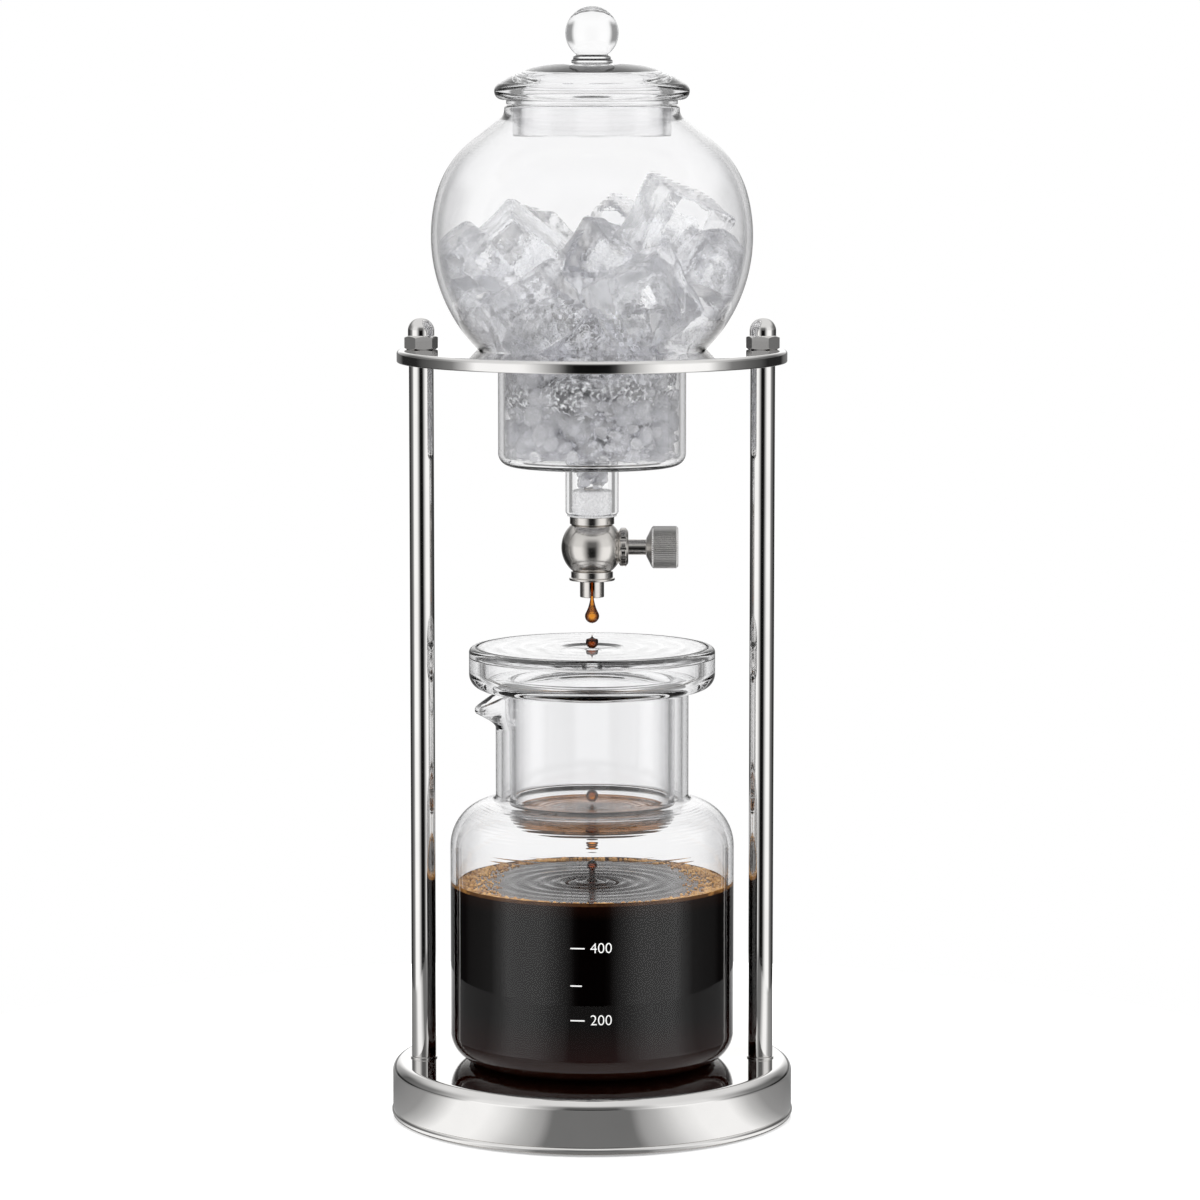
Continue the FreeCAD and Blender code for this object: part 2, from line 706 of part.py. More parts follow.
def valve_needle():
    """Spindle: cone, shank, thread, stem and the end that carries the knob, standing off its seat."""
    seat = outlet_bore + seat_wall
    seat_contact = seat + needle_opening
    contact_radius = orifice_radius - seat_play
    tip = seat_contact - (contact_radius - needle_tip_radius) / needle_cone
    cone_end = seat_contact + (needle_shank_radius - contact_radius) / needle_cone
    thread_start = seat + chamber_length + needle_opening + 0.35
    stem_start = seat + chamber_length + thread_bore_length + needle_opening + running
    knob_end = knob_start + knob_bore_depth - 0.3
    return cross_lathe([(0, tip, 0), (needle_tip_radius, tip, 0.1), (needle_shank_radius, cone_end, 0),
                        (needle_shank_radius, thread_start, 0), (thread_radius, thread_start + 0.3, 0),
                        (thread_radius, stem_start, 0), (stem_radius, stem_start, 0.2),
                        (stem_radius, knob_start - 0.1, 0.2), (thread_radius, knob_start - 0.1, 0),
                        (thread_radius, knob_end, 0.3), (0, knob_end, 0)])


def valve_knob():
    """Knob with a cone at its neck and a straight knurl."""
    end = knob_start + knob_length
    points = []
    for i in range(2 * knob_teeth + 1):
        angle = math.pi * i / knob_teeth
        radius = knob_radius - (knob_tooth_depth if i % 2 else 0)
        y, z = radius * math.cos(angle), ball_centre + radius * math.sin(angle)
        points.append(FreeCAD.Vector(knob_start, y, z))
    knurl = Part.Face(Part.makePolygon(points)).extrude(along_x * knob_length)
    bore, floor = thread_radius + running, knob_start + knob_bore_depth
    cone_end = knob_start + knob_cone_length
    turned = cross_lathe([(bore, knob_start, 0), (knob_neck_radius, knob_start, 0.3),
                          (knob_radius - knob_tooth_depth - 0.3, cone_end, 0),
                          (knob_radius + 1, cone_end + 0.8, 0), (knob_radius + 1, end - knob_chamfer - 1, 0),
                          (knob_radius - knob_chamfer, end, 0), (0, end, 0), (0, floor, 0), (bore, floor, 0)])
    return knurl.common(turned)


# Carafe

def carafe_side():
    """Outer outline from the middle of the bottom to the rim, with its corner roundings."""
    points = [at(0, carafe_bottom + punt_rise), at(punt_radius - 4, carafe_bottom + punt_rise),
              at(punt_radius, carafe_bottom), at(carafe_radius, carafe_bottom),
              at(carafe_radius, carafe_corner), at(carafe_neck_radius, carafe_corner + carafe_shoulder_rise),
              at(carafe_neck_radius, carafe_rim - carafe_wall / 2)]
    return points, [3.0, 3.0, carafe_foot_round, carafe_shoulder_round, carafe_neck_round]


def spout_loft(depth, bottom, top):
    """Body of the spout between two heights, with its outer face moved inwards by depth."""
    wires = []
    for i in range(spout_sections):
        z = bottom + (top - bottom) * i / (spout_sections - 1)
        swing = min(1.0, max(0.0, (z - (carafe_rim - spout_height)) / spout_flare))
        reach = spout_reach * swing * swing * (3 - 2 * swing)
        points = []
        for j in range(spout_points):
            share = 2 * j / (spout_points - 1) - 1
            angle = math.radians(180 + spout_half_angle * share)
            bump = math.cos(math.pi * share / 2) ** 2
            radius = carafe_neck_radius - spout_sink - depth + (reach + spout_sink) * bump
            points.append(FreeCAD.Vector(radius * math.cos(angle), radius * math.sin(angle), z))
        curve = Part.BSplineCurve()
        curve.interpolate(points)
        wires.append(Part.Wire([curve.toShape(), Part.LineSegment(points[-1], points[0]).toShape()]))
    return Part.makeLoft(wires, True)


def carafe():
    """Glass jug: pushed-up bottom, round shoulder, straight neck and a spout pinched out of the rim."""
    points, radii = carafe_side()
    inner_points, inner_radii = inset(points, radii, carafe_wall)
    outer = open_outline(points, radii)
    inner = open_outline(inner_points, inner_radii)
    rim_middle = carafe_neck_radius - carafe_wall / 2
    rim = Part.Arc(points[-1], at(rim_middle, carafe_rim), inner_points[-1]).toShape()
    axis_edge = Part.LineSegment(points[0], inner_points[0]).toShape()
    jug = revolve(outer + inner + [rim, axis_edge])

    bore = rod(carafe_neck_radius - carafe_wall, carafe_corner, carafe_rim + 5)
    lowest = carafe_rim - spout_height - 1
    beak = spout_loft(0, lowest, carafe_rim).cut(bore)
    channel = spout_loft(spout_wall, lowest + 1, carafe_rim + 3)
    tip = carafe_neck_radius + spout_reach + 2
    fall = spout_dip * (tip - rim_middle) / (spout_reach + carafe_wall / 2)
    corners = [(-rim_middle, carafe_rim), (-tip, carafe_rim - fall), (-tip, carafe_rim + 5),
               (-rim_middle, carafe_rim + 5), (-rim_middle, carafe_rim)]
    side = -carafe_neck_radius
    lip = Part.makePolygon([FreeCAD.Vector(x, side, z) for x, z in corners])
    above_lip = Part.Face(lip).extrude(FreeCAD.Vector(0, -2 * side, 0))
    return jug.fuse(beak.cut(above_lip)).cut(channel)


# Brew cup

def brew_cup():
    """Clear glass cup: drum with a ledge for the lid, tube down into the carafe, floor with a drain hole."""
    tube_inner = tube_radius - tube_wall
    drum_inner = drum_radius - drum_wall
    return lathe([(drain_radius, tube_bottom, 0.4), (tube_radius, tube_bottom, 3.0),
                  (tube_radius, drum_bottom, 1.5), (drum_radius, drum_bottom, drum_foot_round),
                  (drum_radius, drum_top, drum_top_round),
                  (lid_seat_radius, drum_top, 0.3), (lid_seat_radius, lid_seat_bottom, 0),
                  (drum_inner, lid_seat_bottom, 0.8), (drum_inner, drum_bottom + drum_floor, 3.0),
                  (tube_inner, drum_bottom + drum_floor, 3.0), (tube_inner, tube_bottom + tube_floor, 2.0),
                  (drain_radius, tube_bottom + tube_floor, 0.4)])


def cup_lid():
    """Glass disc with a shallow dimple and a drip hole in its middle."""
    bottom = lid_seat_bottom + rest_gap
    edge = lid_seat_radius - rest_gap
    return lathe([(drip_hole_radius, bottom, 0.3), (edge, bottom, 0.5), (edge, drum_top, 0.5),
                  (dimple_radius, drum_top, 0.5), (dimple_radius - 1.2, drum_top - dimple_depth, 0.8),
                  (drip_hole_radius, drum_top - dimple_depth - 0.3, 0.3)])


os.makedirs("parts", exist_ok=True)

export(base_shell(), "base_shell")
export(ballast_disc(), "ballast_disc")
export(base_cover(), "base_cover")
export(base_cover_screws(), "base_cover_screws")
export(rubber_feet(), "rubber_feet")
export(stand_rod(-rod_offset), "rod_left")
export(stand_rod(rod_offset), "rod_right")
export(rod_foot_washers(), "rod_foot_washers")
export(rod_screws(), "rod_screws")
export(rod_screw_washers(), "rod_screw_washers")
export(ring_plate(), "ring_plate")
export(acorn_nut(-rod_offset, nut_turn), "acorn_nut_left")
export(acorn_nut(rod_offset, -nut_turn), "acorn_nut_right")
export(water_vessel(), "water_vessel")
export(valve_stopper(), "valve_stopper")
export(valve_inlet(), "valve_inlet")
export(valve_body(), "valve_body")
export(outlet_collar(), "outlet_collar")
export(drip_nozzle(), "drip_nozzle")
export(gland_nut(), "gland_nut")
export(stem_packing(), "stem_packing")
export(valve_needle(), "valve_needle")
export(valve_knob(), "valve_knob")
export(vessel_lid(), "vessel_lid")
export(lid_knob(), "lid_knob")
export(carafe(), "carafe")
export(brew_cup(), "brew_cup")
export(cup_lid(), "cup_lid")
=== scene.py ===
import math
import time

import bmesh
import bpy
import numpy as np
from mathutils import Euler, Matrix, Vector


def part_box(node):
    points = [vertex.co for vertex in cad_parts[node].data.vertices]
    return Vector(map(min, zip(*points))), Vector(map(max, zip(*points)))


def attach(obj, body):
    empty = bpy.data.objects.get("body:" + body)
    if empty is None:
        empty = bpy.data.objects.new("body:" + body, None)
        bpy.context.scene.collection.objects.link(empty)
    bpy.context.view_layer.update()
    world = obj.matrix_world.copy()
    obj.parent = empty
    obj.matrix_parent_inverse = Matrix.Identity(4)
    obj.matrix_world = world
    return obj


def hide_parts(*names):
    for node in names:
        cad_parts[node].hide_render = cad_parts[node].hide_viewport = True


# Cold drip coffee tower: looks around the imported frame.
# Outlines are in millimetres (distance from the tower's axis, height above the floor) and go into the
# meshes in metres. The camera looks along +Y, and the valve's knob is at +X.
startTime = time.time()
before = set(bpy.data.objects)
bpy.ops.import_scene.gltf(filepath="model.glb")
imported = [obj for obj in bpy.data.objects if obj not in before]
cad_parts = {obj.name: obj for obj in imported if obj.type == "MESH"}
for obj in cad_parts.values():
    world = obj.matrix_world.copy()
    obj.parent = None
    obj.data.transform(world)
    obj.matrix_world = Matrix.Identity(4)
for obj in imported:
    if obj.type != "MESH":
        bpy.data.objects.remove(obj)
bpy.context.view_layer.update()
scene = bpy.context.scene
mm = 0.001
fullTurn = 2 * math.pi


def report(stage):
    print(f"{time.time() - startTime:6.1f} s  {stage}", flush=True)


report("frame loaded")


# Camera, background and lamps

cameraLook = {
    "distance": 1.723,      # from the tower's axis, m
    "height": 0.3861,
    "side": 0.0029,
    "pitch": 6.48,          # degrees down
    "lens": 142.5,
    "sensor": 36.0,
    "clip": (0.1, 30.0),
}


def makeCamera(look):
    data = bpy.data.cameras.new("camera")
    data.lens, data.sensor_width = look["lens"], look["sensor"]
    data.clip_start, data.clip_end = look["clip"]
    camera = bpy.data.objects.new("camera", data)
    camera.location = (look["side"], -look["distance"], look["height"])
    camera.rotation_euler = (math.radians(90 - look["pitch"]), 0, 0)
    scene.collection.objects.link(camera)
    scene.camera = camera


makeCamera(cameraLook)
scene.view_settings.view_transform = "Standard"


# Shader node of that kind, with its properties set
def addNode(tree, kind, **properties):
    node = tree.nodes.new("ShaderNode" + kind)
    for name, value in properties.items():
        setattr(node, name, value)
    return node


# Inputs by name or number, each from another node's output or a plain value
def setInputs(node, values):
    for name, value in values.items():
        if isinstance(value, bpy.types.NodeSocket):
            node.id_data.links.new(value, node.inputs[name])
        else:
            node.inputs[name].default_value = value
    return node


# Output, colour or one grey number, as a colour input takes it
def asColour(value):
    if isinstance(value, bpy.types.NodeSocket):
        return value
    return (value,) * 3 + (1,) if np.isscalar(value) else (*value, 1)


def mathOf(tree, operation, *values):
    return setInputs(addNode(tree, "Math", operation=operation), dict(enumerate(values))).outputs[0]


# Two colours blended by a share
def blendOf(tree, share, first, second, kind="MIX"):
    node = addNode(tree, "MixRGB", blend_type=kind)
    return setInputs(node, {0: share, 1: asColour(first), 2: asColour(second)}).outputs[0]


# A range of the source brought to another range
def spread(tree, source, low, high, fromLow=0.3, fromHigh=0.7, curve="LINEAR"):
    node = addNode(tree, "MapRange", interpolation_type=curve)
    return setInputs(node, {"Value": source, "From Min": fromLow, "From Max": fromHigh, "To Min": low,
                            "To Max": high}).outputs[0]


# Colour ramp at the source, from (place, grey or colour) pairs
def rampOf(tree, source, stops):
    node = addNode(tree, "ValToRGB")
    elements = node.color_ramp.elements
    while len(elements) < len(stops):
        elements.new(0.5)
    for element, (place, value) in zip(elements, stops):
        element.position = place
        element.color = asColour(value)
    return setInputs(node, {0: source}).outputs[0]


def placeOf(tree, kind="Object"):
    return addNode(tree, "TexCoord").outputs[kind]


def axesOf(tree, source):
    return setInputs(addNode(tree, "SeparateXYZ"), {0: source}).outputs


# Turn round the horizon, from 0 at the camera's side to 1 at the back: arctangent of x over -y, either way
def turnFromFront(tree, axes):
    turn = mathOf(tree, "ARCTAN2", axes["X"], mathOf(tree, "MULTIPLY", axes["Y"], -1.0))
    return mathOf(tree, "MULTIPLY", mathOf(tree, "ABSOLUTE", turn), 1 / math.pi)


# Ramp round the horizon, from (degrees between the camera's side and the back, grey) pairs
def horizonOf(tree, turn, pairs):
    return rampOf(tree, turn, [(degrees / 180, grey) for degrees, grey in pairs])


# The studio as polished metal and glass see it, round the horizon: degrees from the camera's side to
# the back, and how bright. The camera stands in a dark gap between two soft boxes, and two dark
# screens stand beside the white backdrop.
studio = {
    "mirrored": [(0, 0.004), (10, 0.006), (14, 0.04), (19, 0.22), (25, 0.42), (32, 0.68), (40, 0.93),
                 (46, 1.0), (72, 1.0), (80, 0.55), (90, 0.2), (104, 0.12), (118, 0.07), (126, 0.02),
                 (148, 0.02), (154, 0.12), (172, 0.2), (178, 0.9), (180, 1.0)],
    "through": [(0, 1.0), (20, 1.0), (28, 0.45), (62, 0.45), (70, 1.0), (110, 1.0), (117, 0.3), (142, 0.3),
                (151, 0.96), (158, 1.0), (180, 1.0)],
    # seen in metal just above the horizon, where fillets look
    "above": [(0, 0.12), (14, 0.12), (26, 0.4), (40, 0.8), (70, 0.8), (84, 0.5), (104, 0.2), (140, 0.1),
              (160, 0.4), (172, 1.0), (180, 1.0)],
    # sines of the elevation: where the ring above begins and is full, where glass begins to see plain
    # white, and where the ceiling begins, with how far each of the last two takes to be full
    "aboveFrom": 0.02, "aboveTo": 0.1, "plainFrom": 0.22, "plainFade": 0.2, "ceilingFrom": 0.3, "ceilingFade": 0.4,
    "mirrorStrength": 1.22,
    "ceilingGrey": 0.72,
    "diffuseLevel": 0.86,
}


def makeWorld(look):
    world = bpy.data.worlds.new("studio")
    scene.world = world
    world.use_nodes = True
    tree = world.node_tree
    tree.nodes.clear()
    axes = axesOf(tree, placeOf(tree, "Generated"))
    turn = turnFromFront(tree, axes)
    mirrored, above, through = [horizonOf(tree, turn, look[name]) for name in ("mirrored", "above", "through")]

    def fade(source, start, length):
        return spread(tree, source, 0, 1, start, start + length, "SMOOTHSTEP")

    raised = spread(tree, axes["Z"], 0, 1, look["aboveFrom"], look["aboveTo"], "SMOOTHSTEP")
    metal = blendOf(tree, raised, mirrored, above)
    metal = blendOf(tree, fade(axes["Z"], look["ceilingFrom"], look["ceilingFade"]), metal, look["ceilingGrey"])
    metal = blendOf(tree, 1.0, metal, look["mirrorStrength"], "MULTIPLY")
    level = mathOf(tree, "ABSOLUTE", axes["Z"])
    clear = blendOf(tree, fade(level, look["plainFrom"], look["plainFade"]), through, 1.0)
    path = addNode(tree, "LightPath").outputs
    seen = blendOf(tree, path["Is Glossy Ray"], look["diffuseLevel"], metal)
    seen = blendOf(tree, path["Is Transmission Ray"], seen, clear)
    seen = blendOf(tree, path["Is Camera Ray"], seen, 1.0)
    background = setInputs(addNode(tree, "Background"), {"Color": seen})
    setInputs(addNode(tree, "OutputWorld"), {0: background.outputs[0]})


makeWorld(studio)

lamps = [
    # name, place, size, power
    ("overheadBox", (0.0, -0.25, 1.5), 1.1, 7.0),
    ("leftBox", (-1.1, -0.9, 0.75), 0.9, 7.0),
    ("rightBox", (1.1, -0.8, 0.75), 0.9, 6.0),
]
lampTarget = Vector((0, 0, 0.18))
for name, place, size, power in lamps:
    lampData = bpy.data.lights.new(name, "AREA")
    lampData.shape, lampData.size, lampData.energy = "SQUARE", size, power
    lamp = bpy.data.objects.new(name, lampData)
    lamp.location = place
    lamp.rotation_euler = (lampTarget - Vector(place)).to_track_quat("-Z", "Y").to_euler()
    lamp.visible_glossy = lamp.visible_transmission = lamp.visible_camera = False
    scene.collection.objects.link(lamp)


# Materials

def newMaterial(name):
    material = bpy.data.materials.new(name)
    material.use_nodes = True
    return material, material.node_tree, material.node_tree.nodes["Principled BSDF"]


# Noise on object coordinates, stretched where a stretch is given
def objectNoise(tree, scale, detail=3.0, stretch=None):
    source = placeOf(tree)
    if stretch:
        source = setInputs(addNode(tree, "Mapping"), {0: source, "Scale": stretch}).outputs[0]
    return setInputs(addNode(tree, "TexNoise"), {"Scale": scale, "Detail": detail, "Vector": source}).outputs["Fac"]


def toneOf(tree, source, tones):
    return blendOf(tree, spread(tree, source, 0, 1), *tones)


def bumpFrom(tree, shader, source, distance):
    bump = setInputs(addNode(tree, "Bump"), {"Strength": 1.0, "Distance": distance, "Height": source})
    setInputs(shader, {"Normal": bump.outputs[0]})


# How far a surface turns away from the eye, 0 to 1
def facingOf(tree):
    return setInputs(addNode(tree, "LayerWeight"), {0: 0.5}).outputs["Facing"]


def normalAxes(tree):
    return axesOf(tree, addNode(tree, "NewGeometry").outputs["Normal"])


# The first shader, mixed with the second by a share, becomes the material
def showMix(tree, share, first, second):
    mix = setInputs(addNode(tree, "MixShader"), {0: share, 1: first.outputs[0], 2: second.outputs[0]})
    setInputs(tree.nodes["Material Output"], {0: mix.outputs[0]})


# Polished or satin metal: two close tones in soft patches, and fine tool lines in the roughness and bump;
# faces that look up may have a roughness of their own
def metalMaterial(name, tones, rough, grain, grainStretch, bump, topRough=None):
    material, tree, shader = newMaterial(name)
    lines = objectNoise(tree, grain, 2.0, grainStretch)
    finish = spread(tree, lines, *rough)
    if topRough:
        upward = spread(tree, normalAxes(tree)["Z"], 0, 1, 0.15, 0.6)
        finish = blendOf(tree, upward, finish, spread(tree, lines, *topRough))
    setInputs(shader, {"Metallic": 1.0, "Base Color": toneOf(tree, objectNoise(tree, 38.0, 4.0), tones),
                       "Roughness": finish})
    bumpFrom(tree, shader, lines, bump)
    return material


# Moulded or cast finish: two tones and a fine texture
def plainMaterial(name, tones, rough, scale, bump):
    material, tree, shader = newMaterial(name)
    texture = objectNoise(tree, scale, 4.0)
    setInputs(shader, {"Base Color": toneOf(tree, texture, tones), "Roughness": spread(tree, texture, *rough)})
    bumpFrom(tree, shader, texture, bump)
    return material


# Rays from lamps and diffuse surfaces pass clear material, so that it casts no solid shadow
def letLampsThrough(tree, shader, tint=(1, 1, 1)):
    path = addNode(tree, "LightPath").outputs
    either = mathOf(tree, "MAXIMUM", path["Is Shadow Ray"], path["Is Diffuse Ray"])
    showMix(tree, either, shader, setInputs(addNode(tree, "BsdfTransparent"), {0: asColour(tint)}))


# Glass: upright walls get painted shade where they turn away, darkening from face to edge, standing in for the dark
# outline that thick glass shows by refraction
def clearGlassWithPaintedEdgeShade(name, ior, look, bumpScale, bump):
    material, tree, shader = newMaterial(name)
    # painted shade: the tint darkens from face to rim and edge as the surface turns away; faces that lie flat keep the
    # face tint
    tone = rampOf(tree, facingOf(tree), [(0.0, look["face"]), (0.35, look["face"]), (0.62, look["turned"]),
                                         (0.82, look["rim"]), (1.0, look["edge"])])
    flat = spread(tree, mathOf(tree, "ABSOLUTE", normalAxes(tree)["Z"]), 0, 1, *look["flat"])
    setInputs(shader, {"Transmission Weight": 1.0, "IOR": ior, "Roughness": 0.0,
                       "Base Color": blendOf(tree, flat, tone, look["face"])})
    bumpFrom(tree, shader, objectNoise(tree, bumpScale, 2.0), bump)
    letLampsThrough(tree, shader)
    return material


# Ice: clear with a rippled, partly rough skin
def iceMaterial(name, clear, rough, bumpScale, bump, tones):
    material, tree, shader = newMaterial(name)
    texture = objectNoise(tree, bumpScale)
    setInputs(shader, {"Base Color": toneOf(tree, texture, tones), "Roughness": spread(tree, texture, *rough),
                       "Transmission Weight": clear, "IOR": 1.31})
    bumpFrom(tree, shader, texture, bump)
    letLampsThrough(tree, shader, (0.9, 0.9, 0.92))
    return material


steelTones = ((0.80, 0.79, 0.775), (0.74, 0.73, 0.72))
valveTones = ((0.70, 0.675, 0.645), (0.62, 0.60, 0.575))
polishedSteel = metalMaterial("polishedSteel", steelTones, (0.035, 0.075), 900.0, (1, 1, 1), 0.0000004)
baseSteel = metalMaterial("baseSteel", steelTones, (0.05, 0.08), 260.0, (1, 1, 14), 0.000001, (0.02, 0.04))
valveSteel = metalMaterial("valveSteel", valveTones, (0.12, 0.2), 420.0, (1, 1, 9), 0.000001)
knobSteel = metalMaterial("knobSteel", steelTones, (0.3, 0.4), 500.0, (6, 1, 1), 0.000002)
screwSteel = metalMaterial("screwSteel", valveTones, (0.2, 0.32), 600.0, (1, 1, 1), 0.000002)
castIron = plainMaterial("castIron", ((0.035, 0.034, 0.033), (0.06, 0.057, 0.054)), (0.55, 0.8), 700.0, 0.00008)
blackCover = plainMaterial("blackCover", ((0.018, 0.018, 0.019), (0.028, 0.028, 0.029)), (0.4, 0.55), 1500.0, 0.00002)
footRubber = plainMaterial("footRubber", ((0.012, 0.012, 0.012), (0.022, 0.021, 0.02)), (0.65, 0.85), 1800.0, 0.00003)
packingRubber = plainMaterial("packingRubber", ((0.02, 0.02, 0.02), (0.03, 0.03, 0.03)), (0.5, 0.6), 1800.0, 0.00001)
siliconeTones = ((0.97, 0.97, 0.975), (0.84, 0.84, 0.85))
silicone = iceMaterial("frostedSilicone", 0.42, (0.15, 0.35), 700.0, 0.0006, siliconeTones)
# glass tint, and the painted shade it takes at its rim and edge
glassTintAndPaintedEdgeShade = {"face": (0.986, 0.986, 0.989), "turned": (0.92, 0.92, 0.93), "rim": (0.58, 0.58, 0.59),
             "edge": (0.08, 0.08, 0.085), "flat": (0.62, 0.9)}
glass = clearGlassWithPaintedEdgeShade("clearGlassPaintedEdgeShade", 1.47, glassTintAndPaintedEdgeShade, 26.0, 0.00004)
report("materials made")


# Meshes

def unitOf(vector):
    return vector / np.hypot(*vector)


# Points of the arc of that radius, tangent to both edges of a corner
def roundCorner(before, corner, after, radius, arcStep):
    if radius <= 0:
        return corner[None]
    back, ahead = unitOf(before - corner), unitOf(after - corner)
    half = math.acos(np.clip(back @ ahead, -1, 1)) / 2
    centre = corner + unitOf(back + ahead) * radius / math.sin(half)
    first = corner + back * radius / math.tan(half) - centre
    last = corner + ahead * radius / math.tan(half) - centre
    begin = math.atan2(first[1], first[0])
    turn = (math.atan2(last[1], last[0]) - begin + math.pi) % fullTurn - math.pi
    angles = begin + turn * np.linspace(0, 1, max(3, math.ceil(abs(math.degrees(turn)) / arcStep)) + 1)
    return centre + radius * np.stack([np.cos(angles), np.sin(angles)], 1)


# The same line with a point just inside each end of every long run, so that smooth shading stays there
def supported(path, gap=0.15):
    ahead = path[1:] - path[:-1]
    length = np.hypot(ahead[:, 0], ahead[:, 1])
    step = np.where(length[:, None] > 4 * gap, ahead / np.maximum(length, 1e-9)[:, None] * gap, 0)
    inner = np.stack([path[:-1], path[:-1] + step, path[1:] - step], 1).reshape(-1, 2)
    points = np.concatenate([inner, path[-1:]])
    keep = np.concatenate([[True], np.hypot(*(points[1:] - points[:-1]).T) > 1e-5])
    return points[keep]


# Line along the points with its inner corners rounded
def openLine(points, radii, arcStep=9.0):
    points = np.array(points, float)
    parts = [points[:1]]
    parts += [roundCorner(points[i - 1], points[i], points[i + 1], radius, arcStep)
              for i, radius in enumerate(radii, start=1)]
    parts.append(points[-1:])
    return np.concatenate(parts)


# Closed line through (distance from axis, height, rounding) corners; the last point isn't repeated
def loopLine(corners, arcStep=9.0):
    corners = np.array(corners, float)
    points = corners[:, :2]
    return np.concatenate([roundCorner(points[i - 1], points[i], points[(i + 1) % len(points)], corners[i, 2], arcStep)
                           for i in range(len(points))])


# Arc about a centre, angles from the outward direction
def arcLine(centre, radius, fromDegrees, toDegrees, step=3.0):
    count = max(2, math.ceil(abs(toDegrees - fromDegrees) / step))
    angles = np.radians(np.linspace(fromDegrees, toDegrees, count + 1))
    return np.array(centre, float) + radius * np.stack([np.cos(angles), np.sin(angles)], 1)


# Four-sided faces of a grid of points, joined end to end where it wraps
def gridFaces(rows, columns, wrapRows=False, wrapColumns=True):
    i = np.arange(rows if wrapRows else rows - 1)
    j = np.arange(columns if wrapColumns else columns - 1)
    i, j = np.meshgrid(i, j, indexing="ij")
    nextI, nextJ = (i + 1) % rows, (j + 1) % columns
    return np.stack([i * columns + j, i * columns + nextJ, nextI * columns + nextJ, nextI * columns + j],
                    -1).reshape(-1, 4)


def mergeDoubles(mesh, distance, outward):
    work = bmesh.new()
    work.from_mesh(mesh)
    bmesh.ops.remove_doubles(work, verts=work.verts, dist=distance)
    if outward:
        bmesh.ops.recalc_face_normals(work, faces=work.faces)
    work.to_mesh(mesh)
    work.free()


# Mesh piece from points in millimetres: doubles merged, faces outwards, smooth but for sharp edges
def makePiece(name, points, faces, material, body, replaces=(), sharp=32.0):
    mesh = bpy.data.meshes.new(name)
    faces = faces if isinstance(faces, list) else faces.tolist()
    mesh.from_pydata((np.asarray(points, float).reshape(-1, 3) * mm).tolist(), [], faces)
    mergeDoubles(mesh, 1e-8, True)
    finishPiece(name, mesh, material, body, replaces, sharp)


def finishPiece(name, mesh, material, body, replaces=(), sharp=32.0):
    mesh.polygons.foreach_set("use_smooth", np.ones(len(mesh.polygons), bool))
    mesh.set_sharp_from_angle(angle=math.radians(sharp))
    mesh.materials.append(material)
    piece = bpy.data.objects.new(name, mesh)
    scene.collection.objects.link(piece)
    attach(piece, body)
    if replaces:
        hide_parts(*replaces)


def turnsOf(segments):
    return np.linspace(0, fullTurn, segments, endpoint=False)


# A line turned about the Z axis: x, y = distance times cosine and sine of the turn. The distance may
# change round the turn.
def turnedPoints(distance, height, turn):
    return np.stack([distance * np.cos(turn), distance * np.sin(turn), height + 0 * turn], -1)


# Turned points laid along X, about the axis of the valve's knob
def sideways(points):
    return np.roll(points, 1, axis=-1) + np.array([0, 0, ballCentre])


# Piece turned on a lathe, from its outline
def turnedPiece(name, line, segments, closed, material, body, replaces=(), place=(0, 0, 0), sharp=32.0):
    line = supported(np.concatenate([line, line[:1]]))[:-1] if closed else supported(line)
    points = turnedPoints(line[:, :1], line[:, 1:], turnsOf(segments)) + np.array(place, float)
    makePiece(name, points, gridFaces(len(line), segments, closed), material, body, replaces, sharp)


# Heights shared by several pieces, taken from the frame so that they follow the CAD part
def topOf(node):
    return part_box(node)[1].z / mm


def bottomOf(node):
    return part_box(node)[0].z / mm


baseTop = topOf("base_shell")
ringTop, ringBottom = topOf("ring_plate"), bottomOf("ring_plate")
rodOffset = (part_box("rod_right")[0].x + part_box("rod_right")[1].x) / 2 / mm
ballCentre = (bottomOf("valve_knob") + topOf("valve_knob")) / 2
vesselRim = topOf("water_vessel")
carafeRim = topOf("carafe")
cupTop = topOf("brew_cup")


# Stand

standSizes = {
    "baseRadius": 73.4, "baseRound": 4.0, "baseWall": 1.2, "bead": 0.4, "beadRound": 1.3, "beadHeight": 2.6,
    "footProud": 0.8, "rodRadius": 4.5, "washerRadius": 4.9, "washerHeight": 0.5,
    "ringHole": 40.876, "ringRadius": 70.9, "ringSeat": 1.0, "ringEdge": 1.4,
    "nutFlats": 10.7, "hexHeight": 4.8, "domeRadius": 4.8, "domeStraight": 1.9, "nutTurn": 12.0,
}


# One spun cover: top and rounded edge, rolled bead round the foot, and the wall's inner face
def buildBase(s):
    radius, low, side = s["baseRadius"], s["footProud"], s["footProud"] + s["beadHeight"]
    top = openLine([(0, baseTop), (radius, baseTop), (radius, side)], [s["baseRound"]], 4)
    bead = arcLine((radius + s["bead"] - s["beadRound"], (low + side) / 2), s["beadRound"], 78, -78, 12)
    bead[0] = (radius, side)
    bead[-1] = (radius, low)
    inside, under = radius - s["baseWall"], baseTop - s["baseWall"]
    inner = openLine([(inside, low), (inside, under), (0, under)], [s["baseRound"] - s["baseWall"]], 8)
    turnedPiece("baseCover", np.concatenate([top, bead, inner]), 256, False, baseSteel, "stand",
                ("base_shell",), sharp=40)


buildBase(standSizes)


